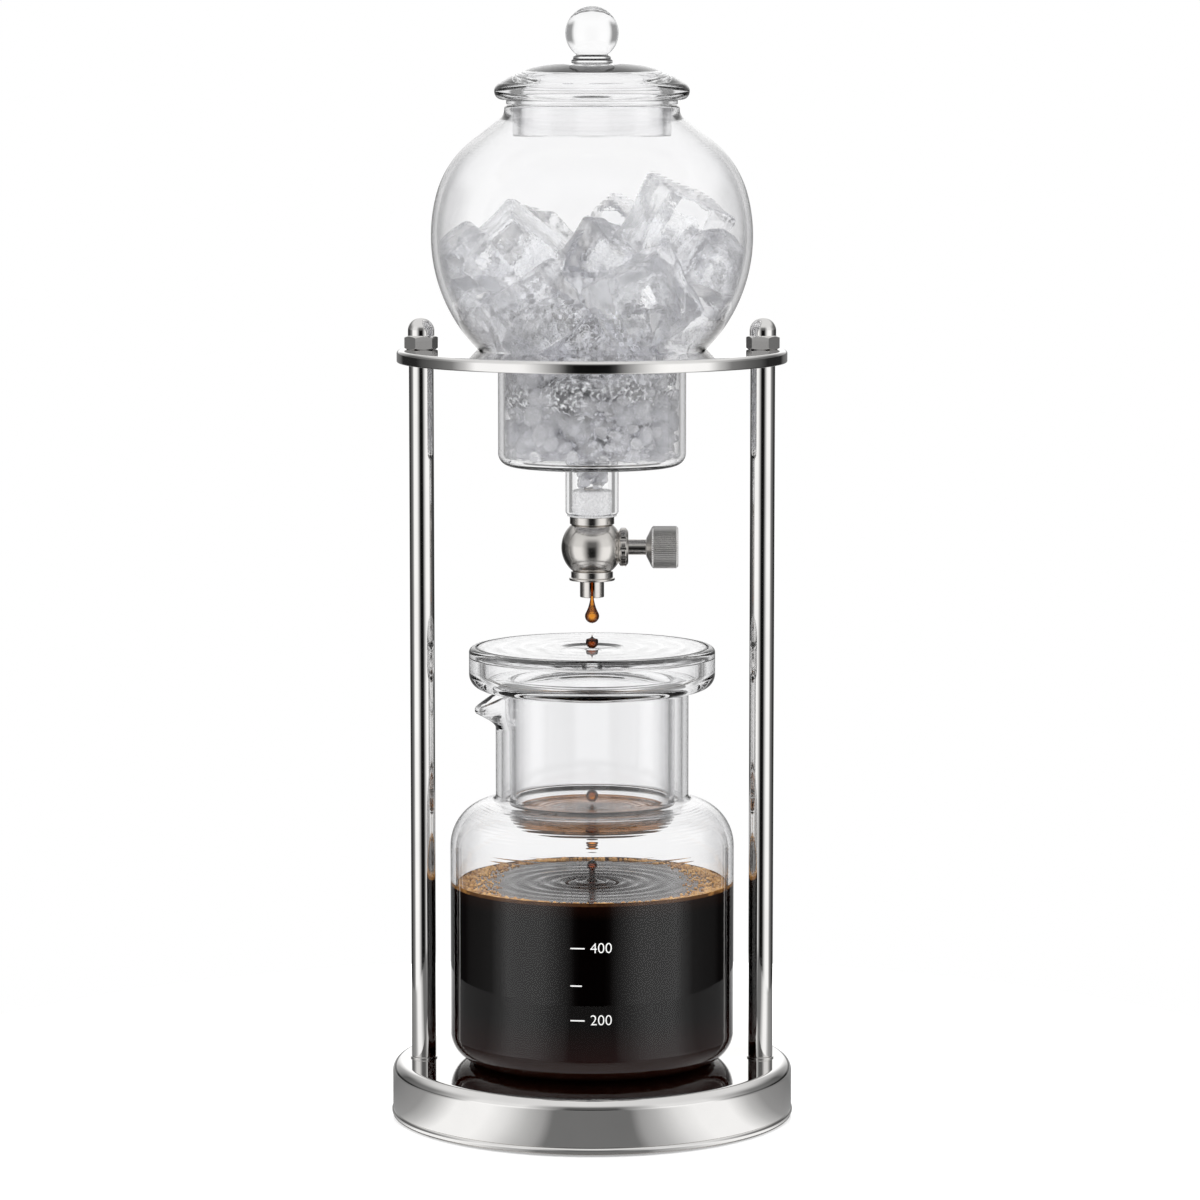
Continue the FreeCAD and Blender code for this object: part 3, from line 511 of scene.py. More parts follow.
def buildRods(s):
    foot = baseTop + s["washerHeight"]
    line = openLine([(0, foot), (s["rodRadius"], foot), (s["rodRadius"], ringBottom), (0, ringBottom)], [0.3, 0.3], 20)
    sides = (("rodLeft", "rod_left", -rodOffset), ("rodRight", "rod_right", rodOffset))
    for name, node, x in sides:
        turnedPiece(name, line, 96, False, polishedSteel, "stand", (node,), (x, 0, 0))
    line = supported(openLine([(0, baseTop), (s["washerRadius"], baseTop), (s["washerRadius"], foot), (0, foot)],
                              [0.0, 0.12], 30), 0.05)
    washer = turnedPoints(line[:, :1], line[:, 1:], turnsOf(72))
    faces = gridFaces(len(line), 72)
    makePiece("rodFootWashers", [washer + np.array([x, 0, 0]) for _, _, x in sides],
              np.concatenate([faces, faces + len(line) * 72]), polishedSteel, "stand",
              ("rod_foot_washers",))


buildRods(standSizes)


def buildRing(s):
    line = loopLine([(s["ringHole"], ringBottom, 0.5), (s["ringRadius"], ringBottom, 0.5),
                     (s["ringRadius"], ringTop, s["ringEdge"]), (s["ringHole"] + s["ringSeat"], ringTop, 0.2),
                     (s["ringHole"], ringTop - s["ringSeat"], 0.2)], 8)
    turnedPiece("ringPlate", line, 256, True, polishedSteel, "stand", ("ring_plate",))


buildRing(standSizes)


# Acorn nuts: distance = least of the hexagon's side and the turned outline at each height
def buildNuts(s):
    flat = s["nutFlats"] / 2
    corner = flat / math.cos(math.radians(30))
    bevel = (corner - flat) * 0.6
    hexTop = ringTop + s["hexHeight"]
    line = supported(np.concatenate([
        [(0, ringTop), (flat - 0.1, ringTop), (corner, ringTop + bevel), (corner, hexTop - bevel),
         (flat - 0.1, hexTop), (s["domeRadius"] + 0.25, hexTop), (s["domeRadius"], hexTop + 0.25)],
        arcLine((0, hexTop + s["domeStraight"]), s["domeRadius"], 0, 90, 5)]), 0.12)
    fine = np.concatenate([np.linspace(a, b, 6, endpoint=False) for a, b in zip(line[:-1], line[1:])] + [line[-1:]])
    turn = turnsOf(144)
    hexagon = flat / np.cos((turn + math.pi / 6) % (math.pi / 3) - math.pi / 6)
    distance = np.where(fine[:, 1:] <= hexTop + 1e-6, np.minimum(fine[:, :1], hexagon), fine[:, :1])
    for name, node, x, twist in (("acornNutLeft", "acorn_nut_left", -rodOffset, s["nutTurn"]),
                                 ("acornNutRight", "acorn_nut_right", rodOffset, -s["nutTurn"])):
        points = turnedPoints(distance, fine[:, 1:], turn + math.radians(twist + 30)) + np.array([x, 0, 0])
        makePiece(name, points, gridFaces(len(fine), 144), polishedSteel, "stand", (node,), sharp=22)


buildNuts(standSizes)
report("stand built")


# Glass

vesselSizes = {
    "wall": 2.2, "outletRadius": 9.65, "outletRound": 2.0, "cylinderRadius": 34.176, "cylinderCorner": 4.6,
    "waistRound": 2.5, "globeRadius": 58.3, "shoulderRadius": 36.4, "shoulderStart": 15.0, "shoulderEnd": 52.4,
    "neckRadius": 31.7, "neckWall": 2.6, "neckRound": 4.0,
    "outletBottom": 221.9, "cylinderBottom": 239.7, "globeCentre": 323.0,
}


# Vessel's outline from the outlet to the neck, moved inwards by depth
def vesselLine(s, depth, neck):
    globe = np.array([0, s["globeCentre"]])
    reach = s["globeRadius"] + s["waistRound"]
    side = s["cylinderRadius"] + s["waistRound"]
    waist = np.array([side, s["globeCentre"] - math.sqrt(reach ** 2 - side ** 2)])
    floor, outlet, cylinder = s["cylinderBottom"] + depth, s["outletRadius"] - depth, s["cylinderRadius"] - depth
    lower = openLine([(outlet, s["outletBottom"] + s["wall"] / 2), (outlet, floor), (cylinder, floor),
                      (cylinder, waist[1])], [s["outletRound"] + depth, s["cylinderCorner"] - depth])
    start = math.degrees(math.atan2(waist[1] - globe[1], waist[0]))
    fillet = arcLine(waist, s["waistRound"] + depth, 180, 180 + start, 6)
    ball = arcLine(globe, s["globeRadius"] - depth, start, s["shoulderStart"], 2)
    lean, end = math.radians(s["shoulderStart"]), math.radians(s["shoulderEnd"])
    centre = globe + np.array([math.cos(lean), math.sin(lean)]) * (s["globeRadius"] - s["shoulderRadius"])
    shoulder = arcLine(centre, s["shoulderRadius"] - depth, s["shoulderStart"], s["shoulderEnd"], 2)
    steep = math.tan(math.pi / 2 - end)
    corner = shoulder[-1][1] + (shoulder[-1][0] - neck) * steep
    top = openLine([shoulder[-1], (neck, corner), (neck, vesselRim - s["neckWall"] / 2)], [s["neckRound"] + depth], 6)
    return np.concatenate([lower, fillet[1:], ball[1:], shoulder[1:], top[1:]])


def buildVessel(s):
    inside = s["neckRadius"] - s["neckWall"]
    outer = vesselLine(s, 0, s["neckRadius"])
    inner = vesselLine(s, s["wall"], inside)
    rim = arcLine(((s["neckRadius"] + inside) / 2, vesselRim - s["neckWall"] / 2), s["neckWall"] / 2, 0, 180, 15)
    lip = arcLine((s["outletRadius"] - s["wall"] / 2, s["outletBottom"] + s["wall"] / 2), s["wall"] / 2, 180, 360, 20)
    line = np.concatenate([outer[:-1], rim, inner[::-1][1:-1], lip[:-1]])
    turnedPiece("waterVessel", line, 192, True, glass, "vessel", ("water_vessel",))


buildVessel(vesselSizes)

lidSizes = {
    "restGap": 0.3, "plugGap": 0.4, "plugWall": 2.8, "plugLength": 12.2, "step": 1.5, "stepOverlap": 0.7,
    "bead": 3.2, "overhang": 3.6, "rise": 14.8, "bulge": 2.1, "innerRise": 11.8, "innerCorner": 9.6, "boss": 7.8,
    "ball": 9.6, "ballNeck": 5.6, "ballFoot": 7.5, "footHeight": 1.0, "collar": 6.8, "collarHeights": (1.5, 2.3),
    "ballRise": 3.0,
}


def buildLid(s, v):
    seat = vesselRim + s["restGap"]
    foot = seat + s["rise"]
    bead = np.array([v["neckRadius"] + s["overhang"] - s["bead"], seat + s["step"] + s["bead"]])
    beadArc = arcLine(bead, s["bead"], 70, -90, 8)
    # dome: arc through the boss's edge, a point bulged above the chord, and the bead
    boss = np.array([s["boss"], foot])
    chord = beadArc[0] - boss
    half = np.hypot(*chord) / 2
    radius = (half ** 2 + s["bulge"] ** 2) / (2 * s["bulge"])
    outward = np.array([-chord[1], chord[0]]) / (2 * half)
    centre = boss + chord / 2 - outward * (radius - s["bulge"])
    first, last = [math.degrees(math.atan2(*(end - centre)[::-1])) for end in (boss, beadArc[0])]
    dome = arcLine(centre, radius, first, last, 2)
    step, plug = v["neckRadius"] - s["stepOverlap"], v["neckRadius"] - v["neckWall"] - s["plugGap"]
    inner, low = plug - s["plugWall"], seat - s["plugLength"]
    under = openLine([beadArc[-1], (step, seat + s["step"]), (step, seat), (plug, seat), (plug, low), (inner, low),
                      (inner, seat + s["innerCorner"]), (0, seat + s["innerRise"])], [0.3, 0.3, 0.3, 1.0, 1.0, 4.0])
    turnedPiece("vesselLid", np.concatenate([[(0, foot)], dome[:-1], beadArc, under[1:]]), 192, False, glass, "lid",
                ("vessel_lid",))

    start = foot + s["ballRise"]
    middle = start + math.sqrt(s["ball"] ** 2 - s["ballNeck"] ** 2)
    lower = openLine([(0, foot), (s["ballFoot"], foot), (s["ballFoot"], foot + s["footHeight"]),
                      (s["collar"], foot + s["collarHeights"][0]), (s["collar"], foot + s["collarHeights"][1]),
                      (s["ballNeck"], start)], [0.3, 0.4, 0.3, 0.3])
    knob = arcLine((0, middle), s["ball"], math.degrees(math.atan2(start - middle, s["ballNeck"])), 90, 4)
    turnedPiece("lidKnob", np.concatenate([lower[:-1], knob]), 128, False, glass, "lid", ("lid_knob",))


buildLid(lidSizes, vesselSizes)

carafeSizes = {
    "radius": 52.0, "bottom": 20.9, "corner": 113.0, "shoulderTop": 117.5, "neck": 35.3, "wall": 2.4,
    "footRound": 10.0, "shoulderRound": 17.0, "neckRound": 1.8, "puntRadius": 38.0, "puntSlope": 4.0, "puntRise": 1.2,
    "puntRound": 3.0, "spoutReach": 7.6, "spoutHeight": 14.0, "spoutFlare": 8.0, "spoutHalf": 34.0, "spoutDip": 7.0,
}


# An open line moved to its own left by depth, with its roundings to match
def shiftLine(points, radii, depth):
    points, radii = np.array(points, float), np.array(radii)
    step = points[1:] - points[:-1]
    step /= np.hypot(step[:, 0], step[:, 1])[:, None]
    left = np.stack([-step[:, 1], step[:, 0]], 1) * depth
    first, last = points[:-1] + left, points[1:] + left
    turn = step[:-1, 0] * step[1:, 1] - step[:-1, 1] * step[1:, 0]
    ahead = first[1:] - first[:-1]
    share = (ahead[:, 0] * step[1:, 1] - ahead[:, 1] * step[1:, 0]) / turn
    corners = first[:-1] + step[:-1] * share[:, None]
    return np.concatenate([first[:1], corners, last[-1:]]), np.where(turn > 0, radii - depth, radii + depth)


def carafeLines(s):
    punt = s["bottom"] + s["puntRise"]
    points = [(0, punt), (s["puntRadius"] - s["puntSlope"], punt), (s["puntRadius"], s["bottom"]),
              (s["radius"], s["bottom"]), (s["radius"], s["corner"]), (s["neck"], s["shoulderTop"]),
              (s["neck"], carafeRim - s["wall"] / 2)]
    radii = [s["puntRound"], s["puntRound"], s["footRound"], s["shoulderRound"], s["neckRound"]]
    return openLine(points, radii, 5), openLine(*shiftLine(points, radii, s["wall"]), 5)


# Extra points up the neck, where the spout bends it
def densified(line):
    neck = np.abs(line[:, 0] - line[-1, 0]) < 0.01
    low = line[neck][0]
    steps = np.linspace(0, 1, 26)[1:-1, None]
    return np.concatenate([line[:-1], low + (line[-1] - low) * steps, line[-1:]])


# How far the spout moves a point of the neck: out by a squared cosine across its width and a smooth step
# up its height, and down towards the tip
def spoutShift(s, angle, height, distance):
    across = np.abs((angle % fullTurn) - math.pi) / math.radians(s["spoutHalf"])
    bump = np.where(across < 1, np.cos(np.clip(across, 0, 1) * math.pi / 2) ** 2, 0)
    bump = np.where(np.abs(distance - s["neck"]) < 4, bump, 0)
    foot = carafeRim - s["spoutHeight"]
    swing = np.clip((height - foot) / s["spoutFlare"], 0, 1)
    swing = swing * swing * (3 - 2 * swing)
    climb = np.clip((height - foot) / s["spoutHeight"], 0, 1)
    return s["spoutReach"] * swing * bump, s["spoutDip"] * climb ** 2 * bump


def buildCarafe(s):
    outer, inner = [densified(line) for line in carafeLines(s)]
    rim = arcLine((s["neck"] - s["wall"] / 2, carafeRim - s["wall"] / 2), s["wall"] / 2, 0, 180, 15)
    line = supported(np.concatenate([outer, rim[1:-1], inner[::-1]]))
    turn = turnsOf(216)
    points = turnedPoints(line[:, :1], line[:, 1:], turn)
    out, down = spoutShift(s, turn, line[:, 1:], line[:, :1])
    points[..., 0] += out * np.cos(turn)
    points[..., 1] += out * np.sin(turn)
    points[..., 2] -= down
    makePiece("carafe", points, gridFaces(len(line), 216), glass, "jug", ("carafe",))
    return inner


carafeInside = buildCarafe(carafeSizes)

cupSizes = {
    "tube": 30.2, "tubeWall": 2.0, "tubeLength": 51.4, "floor": 2.6, "tubeFoot": 8.5, "drain": 2.0, "drum": 45.0,
    "drumHeight": 15.3, "drumWall": 5.5, "drumFloor": 3.5, "footRound": 5.5, "topRound": 2.0, "lidThickness": 3.2,
    "ledge": 3.1, "wave": 0.06, "waveLength": 7.5, "waveInset": 1.5, "waveStep": 0.5, "dimple": 11.3,
    "dimpleSlope": 2.4, "dimpleDepth": 0.7, "dimpleFall": 0.3, "hole": 2.5, "restGap": 0.3,
}


def buildCup(s):
    bottom = cupTop - s["drumHeight"]
    low = bottom - s["tubeLength"]
    inside, drumInside = s["tube"] - s["tubeWall"], s["drum"] - s["drumWall"]
    seatRadius = drumInside + s["ledge"]
    seat = cupTop - s["lidThickness"] - s["restGap"]
    drumFloor, floor = bottom + s["drumFloor"], low + s["floor"]
    line = loopLine([(s["drain"], low, 0.4), (s["tube"], low, s["tubeFoot"]), (s["tube"], bottom, 1.5),
                     (s["drum"], bottom, s["footRound"]), (s["drum"], cupTop, s["topRound"]),
                     (seatRadius, cupTop, 0.3), (seatRadius, seat, 0), (drumInside, seat, 0.8),
                     (drumInside, drumFloor, 3.0), (inside, drumFloor, 3.0),
                     (inside, floor, s["tubeFoot"] - s["tubeWall"]), (s["drain"], floor, 0.4)], 6)
    turnedPiece("brewCup", line, 192, True, glass, "cup", ("brew_cup",))

    under, edge, dimple = seat + s["restGap"], seatRadius - s["restGap"], cupTop - s["dimpleDepth"]
    line = loopLine([(s["hole"], under, 0.3), (edge, under, 0.5), (edge, cupTop, 1.0), (s["dimple"], cupTop, 1.2),
                     (s["dimple"] - s["dimpleSlope"], dimple, 0.8), (s["hole"], dimple - s["dimpleFall"], 0.3)], 12)
    # the top is pressed glass: its height waves a little with the distance from the middle. The waved
    # points follow the dimple's first one, so the line doubles back there.
    after = np.argmax((line[:, 1] > cupTop - 0.02) & (line[:, 0] < edge - 1.2)) + 1
    flat = [(distance, cupTop) for distance in np.arange(edge - 2, s["dimple"] + 1.5, -s["waveStep"])]
    line = np.concatenate([line[:after], flat, line[after:]])
    waved = (line[:, 1] > cupTop - 0.02) & (line[:, 0] < edge - s["waveInset"])
    inward = edge - s["waveInset"] - line[waved, 0]
    line[waved, 1] -= s["wave"] * (1 - np.cos(fullTurn * inward / s["waveLength"]))
    turnedPiece("dripLid", line, 192, True, glass, "drip_cover", ("cup_lid",))


buildCup(cupSizes)
report("glass built")


# Valve

valveSizes = {
    "ball": 11.2, "collarTop": 201.05, "collarBottom": 197.7, "collar": 7.65, "lip": 8.35, "lipHeight": 0.9,
    "lipSlope": 0.2, "nozzle": 4.4, "nozzleBottom": 191.5, "slot": 1.9, "bore": 1.6, "inletBottom": 218.3,
    "inletTop": 221.2, "inlet": 8.1, "inletBore": 1.5, "inletTube": 3.0, "inletTubeLength": 10.5, "spigot": 3.75,
    "spigotLength": 3.2, "glandStart": 9.6, "glandEnd": 13.2, "gland": 7.05, "glandBevel": (1.2, 0.9),
    "scallops": 12, "scallopDepth": 0.45, "scallopRadius": 1.2, "stem": 2.9, "stemStart": 8.9, "stemEnd": 19.7,
    "thread": 2.0, "threadStart": 5.5, "needle": 1.3, "needleTip": 0.3, "needleHeights": (0.9, 3.1, 5.2),
    "tenonEnd": 26.5, "knobStart": 19.8, "knobLength": 11.6, "knob": 7.7, "knobNeck": 3.3, "cone": 1.9,
    "coneStep": 0.6, "chamfer": 0.7, "knobBore": 2.1, "boreDepth": 7.0, "teeth": 60, "toothDepth": 0.3,
}


def buildValve(s):
    low, top = s["collarTop"], s["inletBottom"]
    lower, upper = [math.degrees(math.asin((height - ballCentre) / s["ball"])) for height in (low, top)]
    ball = arcLine((0, ballCentre), s["ball"], lower, upper, 3)
    turnedPiece("valveBall", np.concatenate([[(0, low)], ball, [(0, top)]]), 160, False, valveSteel, "vessel",
                ("valve_body",))
    spigotEnd, tubeEnd = top - s["spigotLength"], s["inletTop"] + s["inletTubeLength"]
    line = loopLine([(s["inletBore"], spigotEnd, 0), (s["spigot"], spigotEnd, 0.3), (s["spigot"], top, 0),
                     (s["inlet"], top, 0.3), (s["inlet"], s["inletTop"], 0.3), (s["inletTube"], s["inletTop"], 0),
                     (s["inletTube"], tubeEnd, 0.4), (s["inletBore"], tubeEnd, 0)])
    turnedPiece("inletCollar", line, 128, True, valveSteel, "vessel", ("valve_inlet",))
    bottom, lip = s["collarBottom"], s["collarBottom"] + s["lipHeight"]
    line = loopLine([(s["spigot"], bottom, 0), (s["lip"], bottom, 0.35), (s["lip"], lip, 0.35),
                     (s["collar"], lip + s["lipSlope"], 0.2), (s["collar"], low, 0.2), (s["spigot"], low, 0)])
    turnedPiece("outletCollar", line, 128, True, valveSteel, "vessel", ("outlet_collar",))


buildValve(valveSizes)


# Tube with a slot in its front: its wall follows the turn from one side of the slot to the other
def buildNozzle(s):
    half = math.asin(s["slot"] / 2 / s["nozzle"])
    turn = np.linspace(-math.pi / 2 + half, 1.5 * math.pi - half, 97)
    line = supported(loopLine([(s["bore"], s["nozzleBottom"], 0.2), (s["nozzle"], s["nozzleBottom"], 0.3),
                               (s["nozzle"], s["collarBottom"], 0), (s["bore"], s["collarBottom"], 0)], 20))
    ends = np.arange(len(line)) * len(turn)
    faces = gridFaces(len(line), len(turn), True, False).tolist()
    faces += [ends.tolist(), (ends + len(turn) - 1)[::-1].tolist()]
    makePiece("dripNozzle", turnedPoints(line[:, :1], line[:, 1:], turn), faces, valveSteel, "vessel",
              ("drip_nozzle",))


buildNozzle(valveSizes)


# Scalloped nut: distance from the cross axis = outline, cut by round grooves side by side
def buildGland(s):
    start, end, bore, radius = s["glandStart"], s["glandEnd"], s["stem"] + 0.05, s["scallopRadius"]
    bevel, rise = s["glandBevel"]
    line = supported(openLine([(bore, start), (s["gland"] - bevel, start), (s["gland"], start + rise),
                               (s["gland"], end - rise), (s["gland"] - bevel, end), (bore, end)],
                              [0.3, 0.4, 0.4, 0.3], 15), 0.1)
    turn = turnsOf(240)
    pitch = fullTurn / s["scallops"]
    off = (turn + pitch / 2) % pitch - pitch / 2
    centre = s["gland"] - s["scallopDepth"] + radius
    across = centre * np.sin(off)
    groove = centre * np.cos(off) - np.sqrt(np.maximum(radius ** 2 - across ** 2, 0))
    distance = np.minimum(line[:, :1], np.where(np.abs(across) < radius, groove, 99))
    points = sideways(turnedPoints(distance, line[:, 1:], turn))
    points = np.concatenate([points, points[:1]])
    makePiece("glandNut", points, gridFaces(len(points), 240), valveSteel, "vessel", ("gland_nut",),
              sharp=38)


buildGland(valveSizes)


# Needle in one turned piece: its cone and thread inside the ball, the stem that shows, and the tenon in the knob
def buildStem(s):
    tip, cone, shank = s["needleHeights"]
    line = openLine([(0, tip), (s["needleTip"], tip), (s["needle"], cone), (s["needle"], shank),
                     (s["thread"], s["threadStart"]), (s["thread"], s["stemStart"]), (s["stem"], s["stemStart"]),
                     (s["stem"], s["stemEnd"]), (s["thread"], s["stemEnd"]), (s["thread"], s["tenonEnd"]),
                     (0, s["tenonEnd"])], [0.1, 0, 0, 0, 0, 0.2, 0.2, 0, 0.3], 20)
    line = supported(line, 0.1)
    makePiece("valveStem", sideways(turnedPoints(line[:, :1], line[:, 1:], turnsOf(96))), gridFaces(len(line), 96),
              valveSteel, "needle", ("valve_needle",))


buildStem(valveSizes)


# Knob: its straight knurl is a rounded triangle wave round the turn, faded out at both cones
def buildKnob(s):
    start, end, cone = s["knobStart"], s["knobStart"] + s["knobLength"], s["knobStart"] + s["cone"]
    line = openLine([(0, start + s["boreDepth"]), (s["knobBore"], start + s["boreDepth"]), (s["knobBore"], start),
                     (s["knobNeck"], start), (s["knob"] - s["coneStep"], cone), (s["knob"], cone + s["coneStep"]),
                     (s["knob"], end - s["chamfer"]), (s["knob"] - s["chamfer"], end), (0, end)],
                    [0.1, 0.1, 0.3, 0.2, 0.15, 0.15, 0.15], 20)
    line = supported(line, 0.12)
    turn = turnsOf(s["teeth"] * 8)
    wave = np.abs((turn * s["teeth"] / fullTurn) % 1 * 2 - 1)
    depth = s["toothDepth"] * (0.5 - 0.5 * np.cos(math.pi * wave)) * 1.5
    reach = np.clip((line[:, :1] - (s["knob"] - s["chamfer"])) / s["chamfer"], 0, 1)
    points = sideways(turnedPoints(line[:, :1] - depth * reach, line[:, 1:], turn))
    makePiece("valveKnob", points, gridFaces(len(line), len(turn)), knobSteel, "knob", ("valve_knob",),
              sharp=28)


buildKnob(valveSizes)

stopperSizes = {"bore": 3.02, "slack": 0.04, "lip": 0.6, "lipHeight": 0.7, "height": 9.0, "round": 0.8}


def buildStopper(s, v):
    side, lip, low = v["outletRadius"] - v["wall"] - s["slack"], v["outletRadius"] - s["lip"], v["outletBottom"]
    line = loopLine([(s["bore"], low - s["lipHeight"], 0), (lip, low - s["lipHeight"], 0.3), (lip, low, 0),
                     (side, low, 0), (side, low + s["height"], s["round"]), (s["bore"], low + s["height"], 0)])
    turnedPiece("valveStopper", line, 96, True, silicone, "vessel", ("valve_stopper",))


buildStopper(stopperSizes, vesselSizes)
report("valve built")


# Hidden and small CAD nodes keep their shape and get their own finish

finishes = {
    "ballast_disc": castIron, "base_cover": blackCover, "base_cover_screws": screwSteel, "rubber_feet": footRubber,
    "rod_screws": screwSteel, "rod_screw_washers": screwSteel, "stem_packing": packingRubber,
}
for node, material in finishes.items():
    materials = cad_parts[node].data.materials
    materials.clear()
    materials.append(material)


# Coffee

coffeeLook = {
    "level": 86.3, "inset": 0.25, "rippleLength": 6.3, "rippleHeight": 0.75, "rippleFade": 13.0, "rippleStart": 1.0,
    "climb": 0.8, "climbLength": 0.55, "clearHalf": (0.034, 0.0455),
    # up the side: painted light, brighter red-brown at the foot and golden at the rim where light would shine through
    # thin brew, near black between
    "side": [(0.0, (0.02, 0.006, 0.003)), (0.035, (0.016, 0.003, 0.0015)), (0.12, (0.007, 0.0012, 0.0008)),
             (0.3, (0.0006, 0.0002, 0.0002)), (0.9, (0.0006, 0.0002, 0.0002)), (0.975, (0.006, 0.002, 0.001)),
             (0.992, (0.03, 0.01, 0.003)), (1.0, (0.2, 0.09, 0.025))],
    # from the middle to the glass, 0.5 at the edge of the clear brew
    "top": [(0.0, (0.006, 0.002, 0.001)), (0.46, (0.006, 0.002, 0.001)), (0.5, (0.014, 0.005, 0.002)),
            (0.56, (0.05, 0.02, 0.007)), (0.68, (0.09, 0.038, 0.012)), (0.73, (0.3, 0.14, 0.04))],
}


# Near-black brew in the round of the glass, with painted light at its foot and rim; it takes no shine, as the glass
# has it
def coffeeBodyMaterial(look, s):
    material, tree, shader = newMaterial("coffeeBody")
    low, high = (s["bottom"] + s["wall"]) * mm, (look["level"] + 0.9) * mm
    height = spread(tree, axesOf(tree, placeOf(tree))["Z"], 0, 1, low, high)
    # painted light: the ramp up the side is brighter red-brown at the foot and golden at the rim, as light shining
    # through thin brew
    setInputs(shader, {"Base Color": rampOf(tree, height, look["side"]), "Specular IOR Level": 0.0, "Roughness": 0.9})
    return material


# Brown brew surface: an oval of clear brew with a ragged edge, paler and golden by the glass, mirror-smooth
def coffeeSurfaceMaterial(look):
    material, tree, shader = newMaterial("coffeeSurface")
    axes = axesOf(tree, placeOf(tree))
    plan = setInputs(addNode(tree, "CombineXYZ"), {0: axes["X"], 1: axes["Y"]}).outputs[0]
    wide, deep = look["clearHalf"]
    squeezed = setInputs(addNode(tree, "VectorMath", operation="MULTIPLY"), {0: plan, 1: (1 / wide, 1 / deep, 0)})
    away = setInputs(addNode(tree, "VectorMath", operation="LENGTH"), {0: squeezed.outputs[0]}).outputs["Value"]
    ragged = mathOf(tree, "ADD", away, spread(tree, objectNoise(tree, 330.0), -0.09, 0.09))
    setInputs(shader, {"Base Color": rampOf(tree, spread(tree, ragged, 0, 1, 0, 2), look["top"]), "IOR": 1.13,
                       "Roughness": 0.012})
    return material


# Fading cosine of the distance from the middle
def rippled(distance, height, length, fade):
    return height * np.cos(fullTurn * distance / length) * np.exp(-distance / fade)


# Body inside the glass, and a surface that ripples round the jet and climbs a little up the glass
def buildCoffee(look, s):
    inner = carafeInside[carafeInside[:, 1] < look["level"] - 0.5]
    inner = np.concatenate([inner, [(s["radius"] - s["wall"], look["level"] + look["climb"])]])
    step = np.gradient(inner, axis=0)
    step /= np.maximum(np.hypot(step[:, 0], step[:, 1]), 1e-9)[:, None]
    wall = inner + np.stack([step[:, 1], -step[:, 0]], 1) * look["inset"]
    wall[0, 0] = 0
    edge = wall[-1, 0]
    lid = [(edge, look["level"] - 0.3), (0, look["level"] - 0.3)]
    turnedPiece("coffeeBody", np.concatenate([wall[:-1], lid]), 160, False, coffeeBodyMaterial(look, s), "jug",
                sharp=50)
    distance = np.concatenate([np.linspace(edge, edge - 2.4, 12), np.linspace(edge - 2.4, 0, 190)[1:]])
    climb = look["climb"] * np.exp(-(edge - distance) / look["climbLength"])
    ripple = rippled(distance, look["rippleHeight"], look["rippleLength"], look["rippleFade"])
    ripple *= np.clip((distance - look["rippleStart"]) / 2.0, 0, 1)
    surface = np.stack([distance, look["level"] + climb + ripple], 1)
    under = [(0, look["level"] - 0.5), (edge, look["level"] - 0.5)]
    turnedPiece("coffeeSurface", np.concatenate([surface, under, surface[:1]]), 160, False,
                coffeeSurfaceMaterial(look), "jug", sharp=50)


buildCoffee(coffeeLook, carafeSizes)


# Thin brew in a drop: its amber tint, brightest in the middle where light comes straight through it, with painted
# shade darkening it towards its rim
def amberMaterial(name, middle, rim):
    material, tree, shader = newMaterial(name)
    half = tuple(math.sqrt(a * b) for a, b in zip(middle, rim))
    # painted shade: the tint falls from the middle's amber to the dark rim colour as the surface turns away
    tone = rampOf(tree, facingOf(tree), [(0.0, middle), (0.05, middle), (0.16, half), (0.36, rim), (1.0, rim)])
    streaks = spread(tree, objectNoise(tree, 600.0, 2.0), 0.75, 1.0)
    setInputs(shader, {"Transmission Weight": 1.0, "IOR": 1.34, "Roughness": 0.0,
                       "Base Color": blendOf(tree, 1.0, tone, streaks, "MULTIPLY")})
    letLampsThrough(tree, shader)
    return material


amberDrop = amberMaterial("amberDrop", (0.8, 0.3, 0.03), (0.04, 0.008, 0.002))
darkDrop = amberMaterial("darkDrop", (0.3, 0.06, 0.01), (0.015, 0.003, 0.001))


# Drop: a ball that narrows upwards into a tail; distance is the ball's, blended into the tail's
def dropLine(centre, radius, tail, tailRadius):
    low = arcLine((0, centre), radius, -90, 32, 6)
    climb = np.linspace(0, 1, 14)[1:]
    high = low[-1, 1] + (tail - low[-1, 1]) * climb
    narrow = tailRadius + (low[-1, 0] - tailRadius) * (1 - climb) ** 3.4
    return np.concatenate([low, np.stack([narrow, high], 1), [(0, tail)]])


dropLook = [
    # name, body, liquid, height of the ball's centre and its radius, and the tail's top and radius
    ("hangingDrop", "vessel", amberDrop, 184.5, 2.6, (197.4, 0.42)),
    ("lidDrop", "drip_cover", darkDrop, 174.9, 2.3, (177.6, 0.12)),
    ("fallingDrop", "cup", amberDrop, 118.4, 2.25, None),
    ("sinkingDrop", "cup", amberDrop, 111.6, 2.0, (115.2, 0.5)),
    ("lowerDrop", "cup", amberDrop, 100.6, 2.25, None),
]
jetLook = {"foot": -0.1, "height": 4.4, "neck": 1.05, "spread": 4.6, "fade": 7.0, "beadHeight": 6.1, "bead": 1.95}


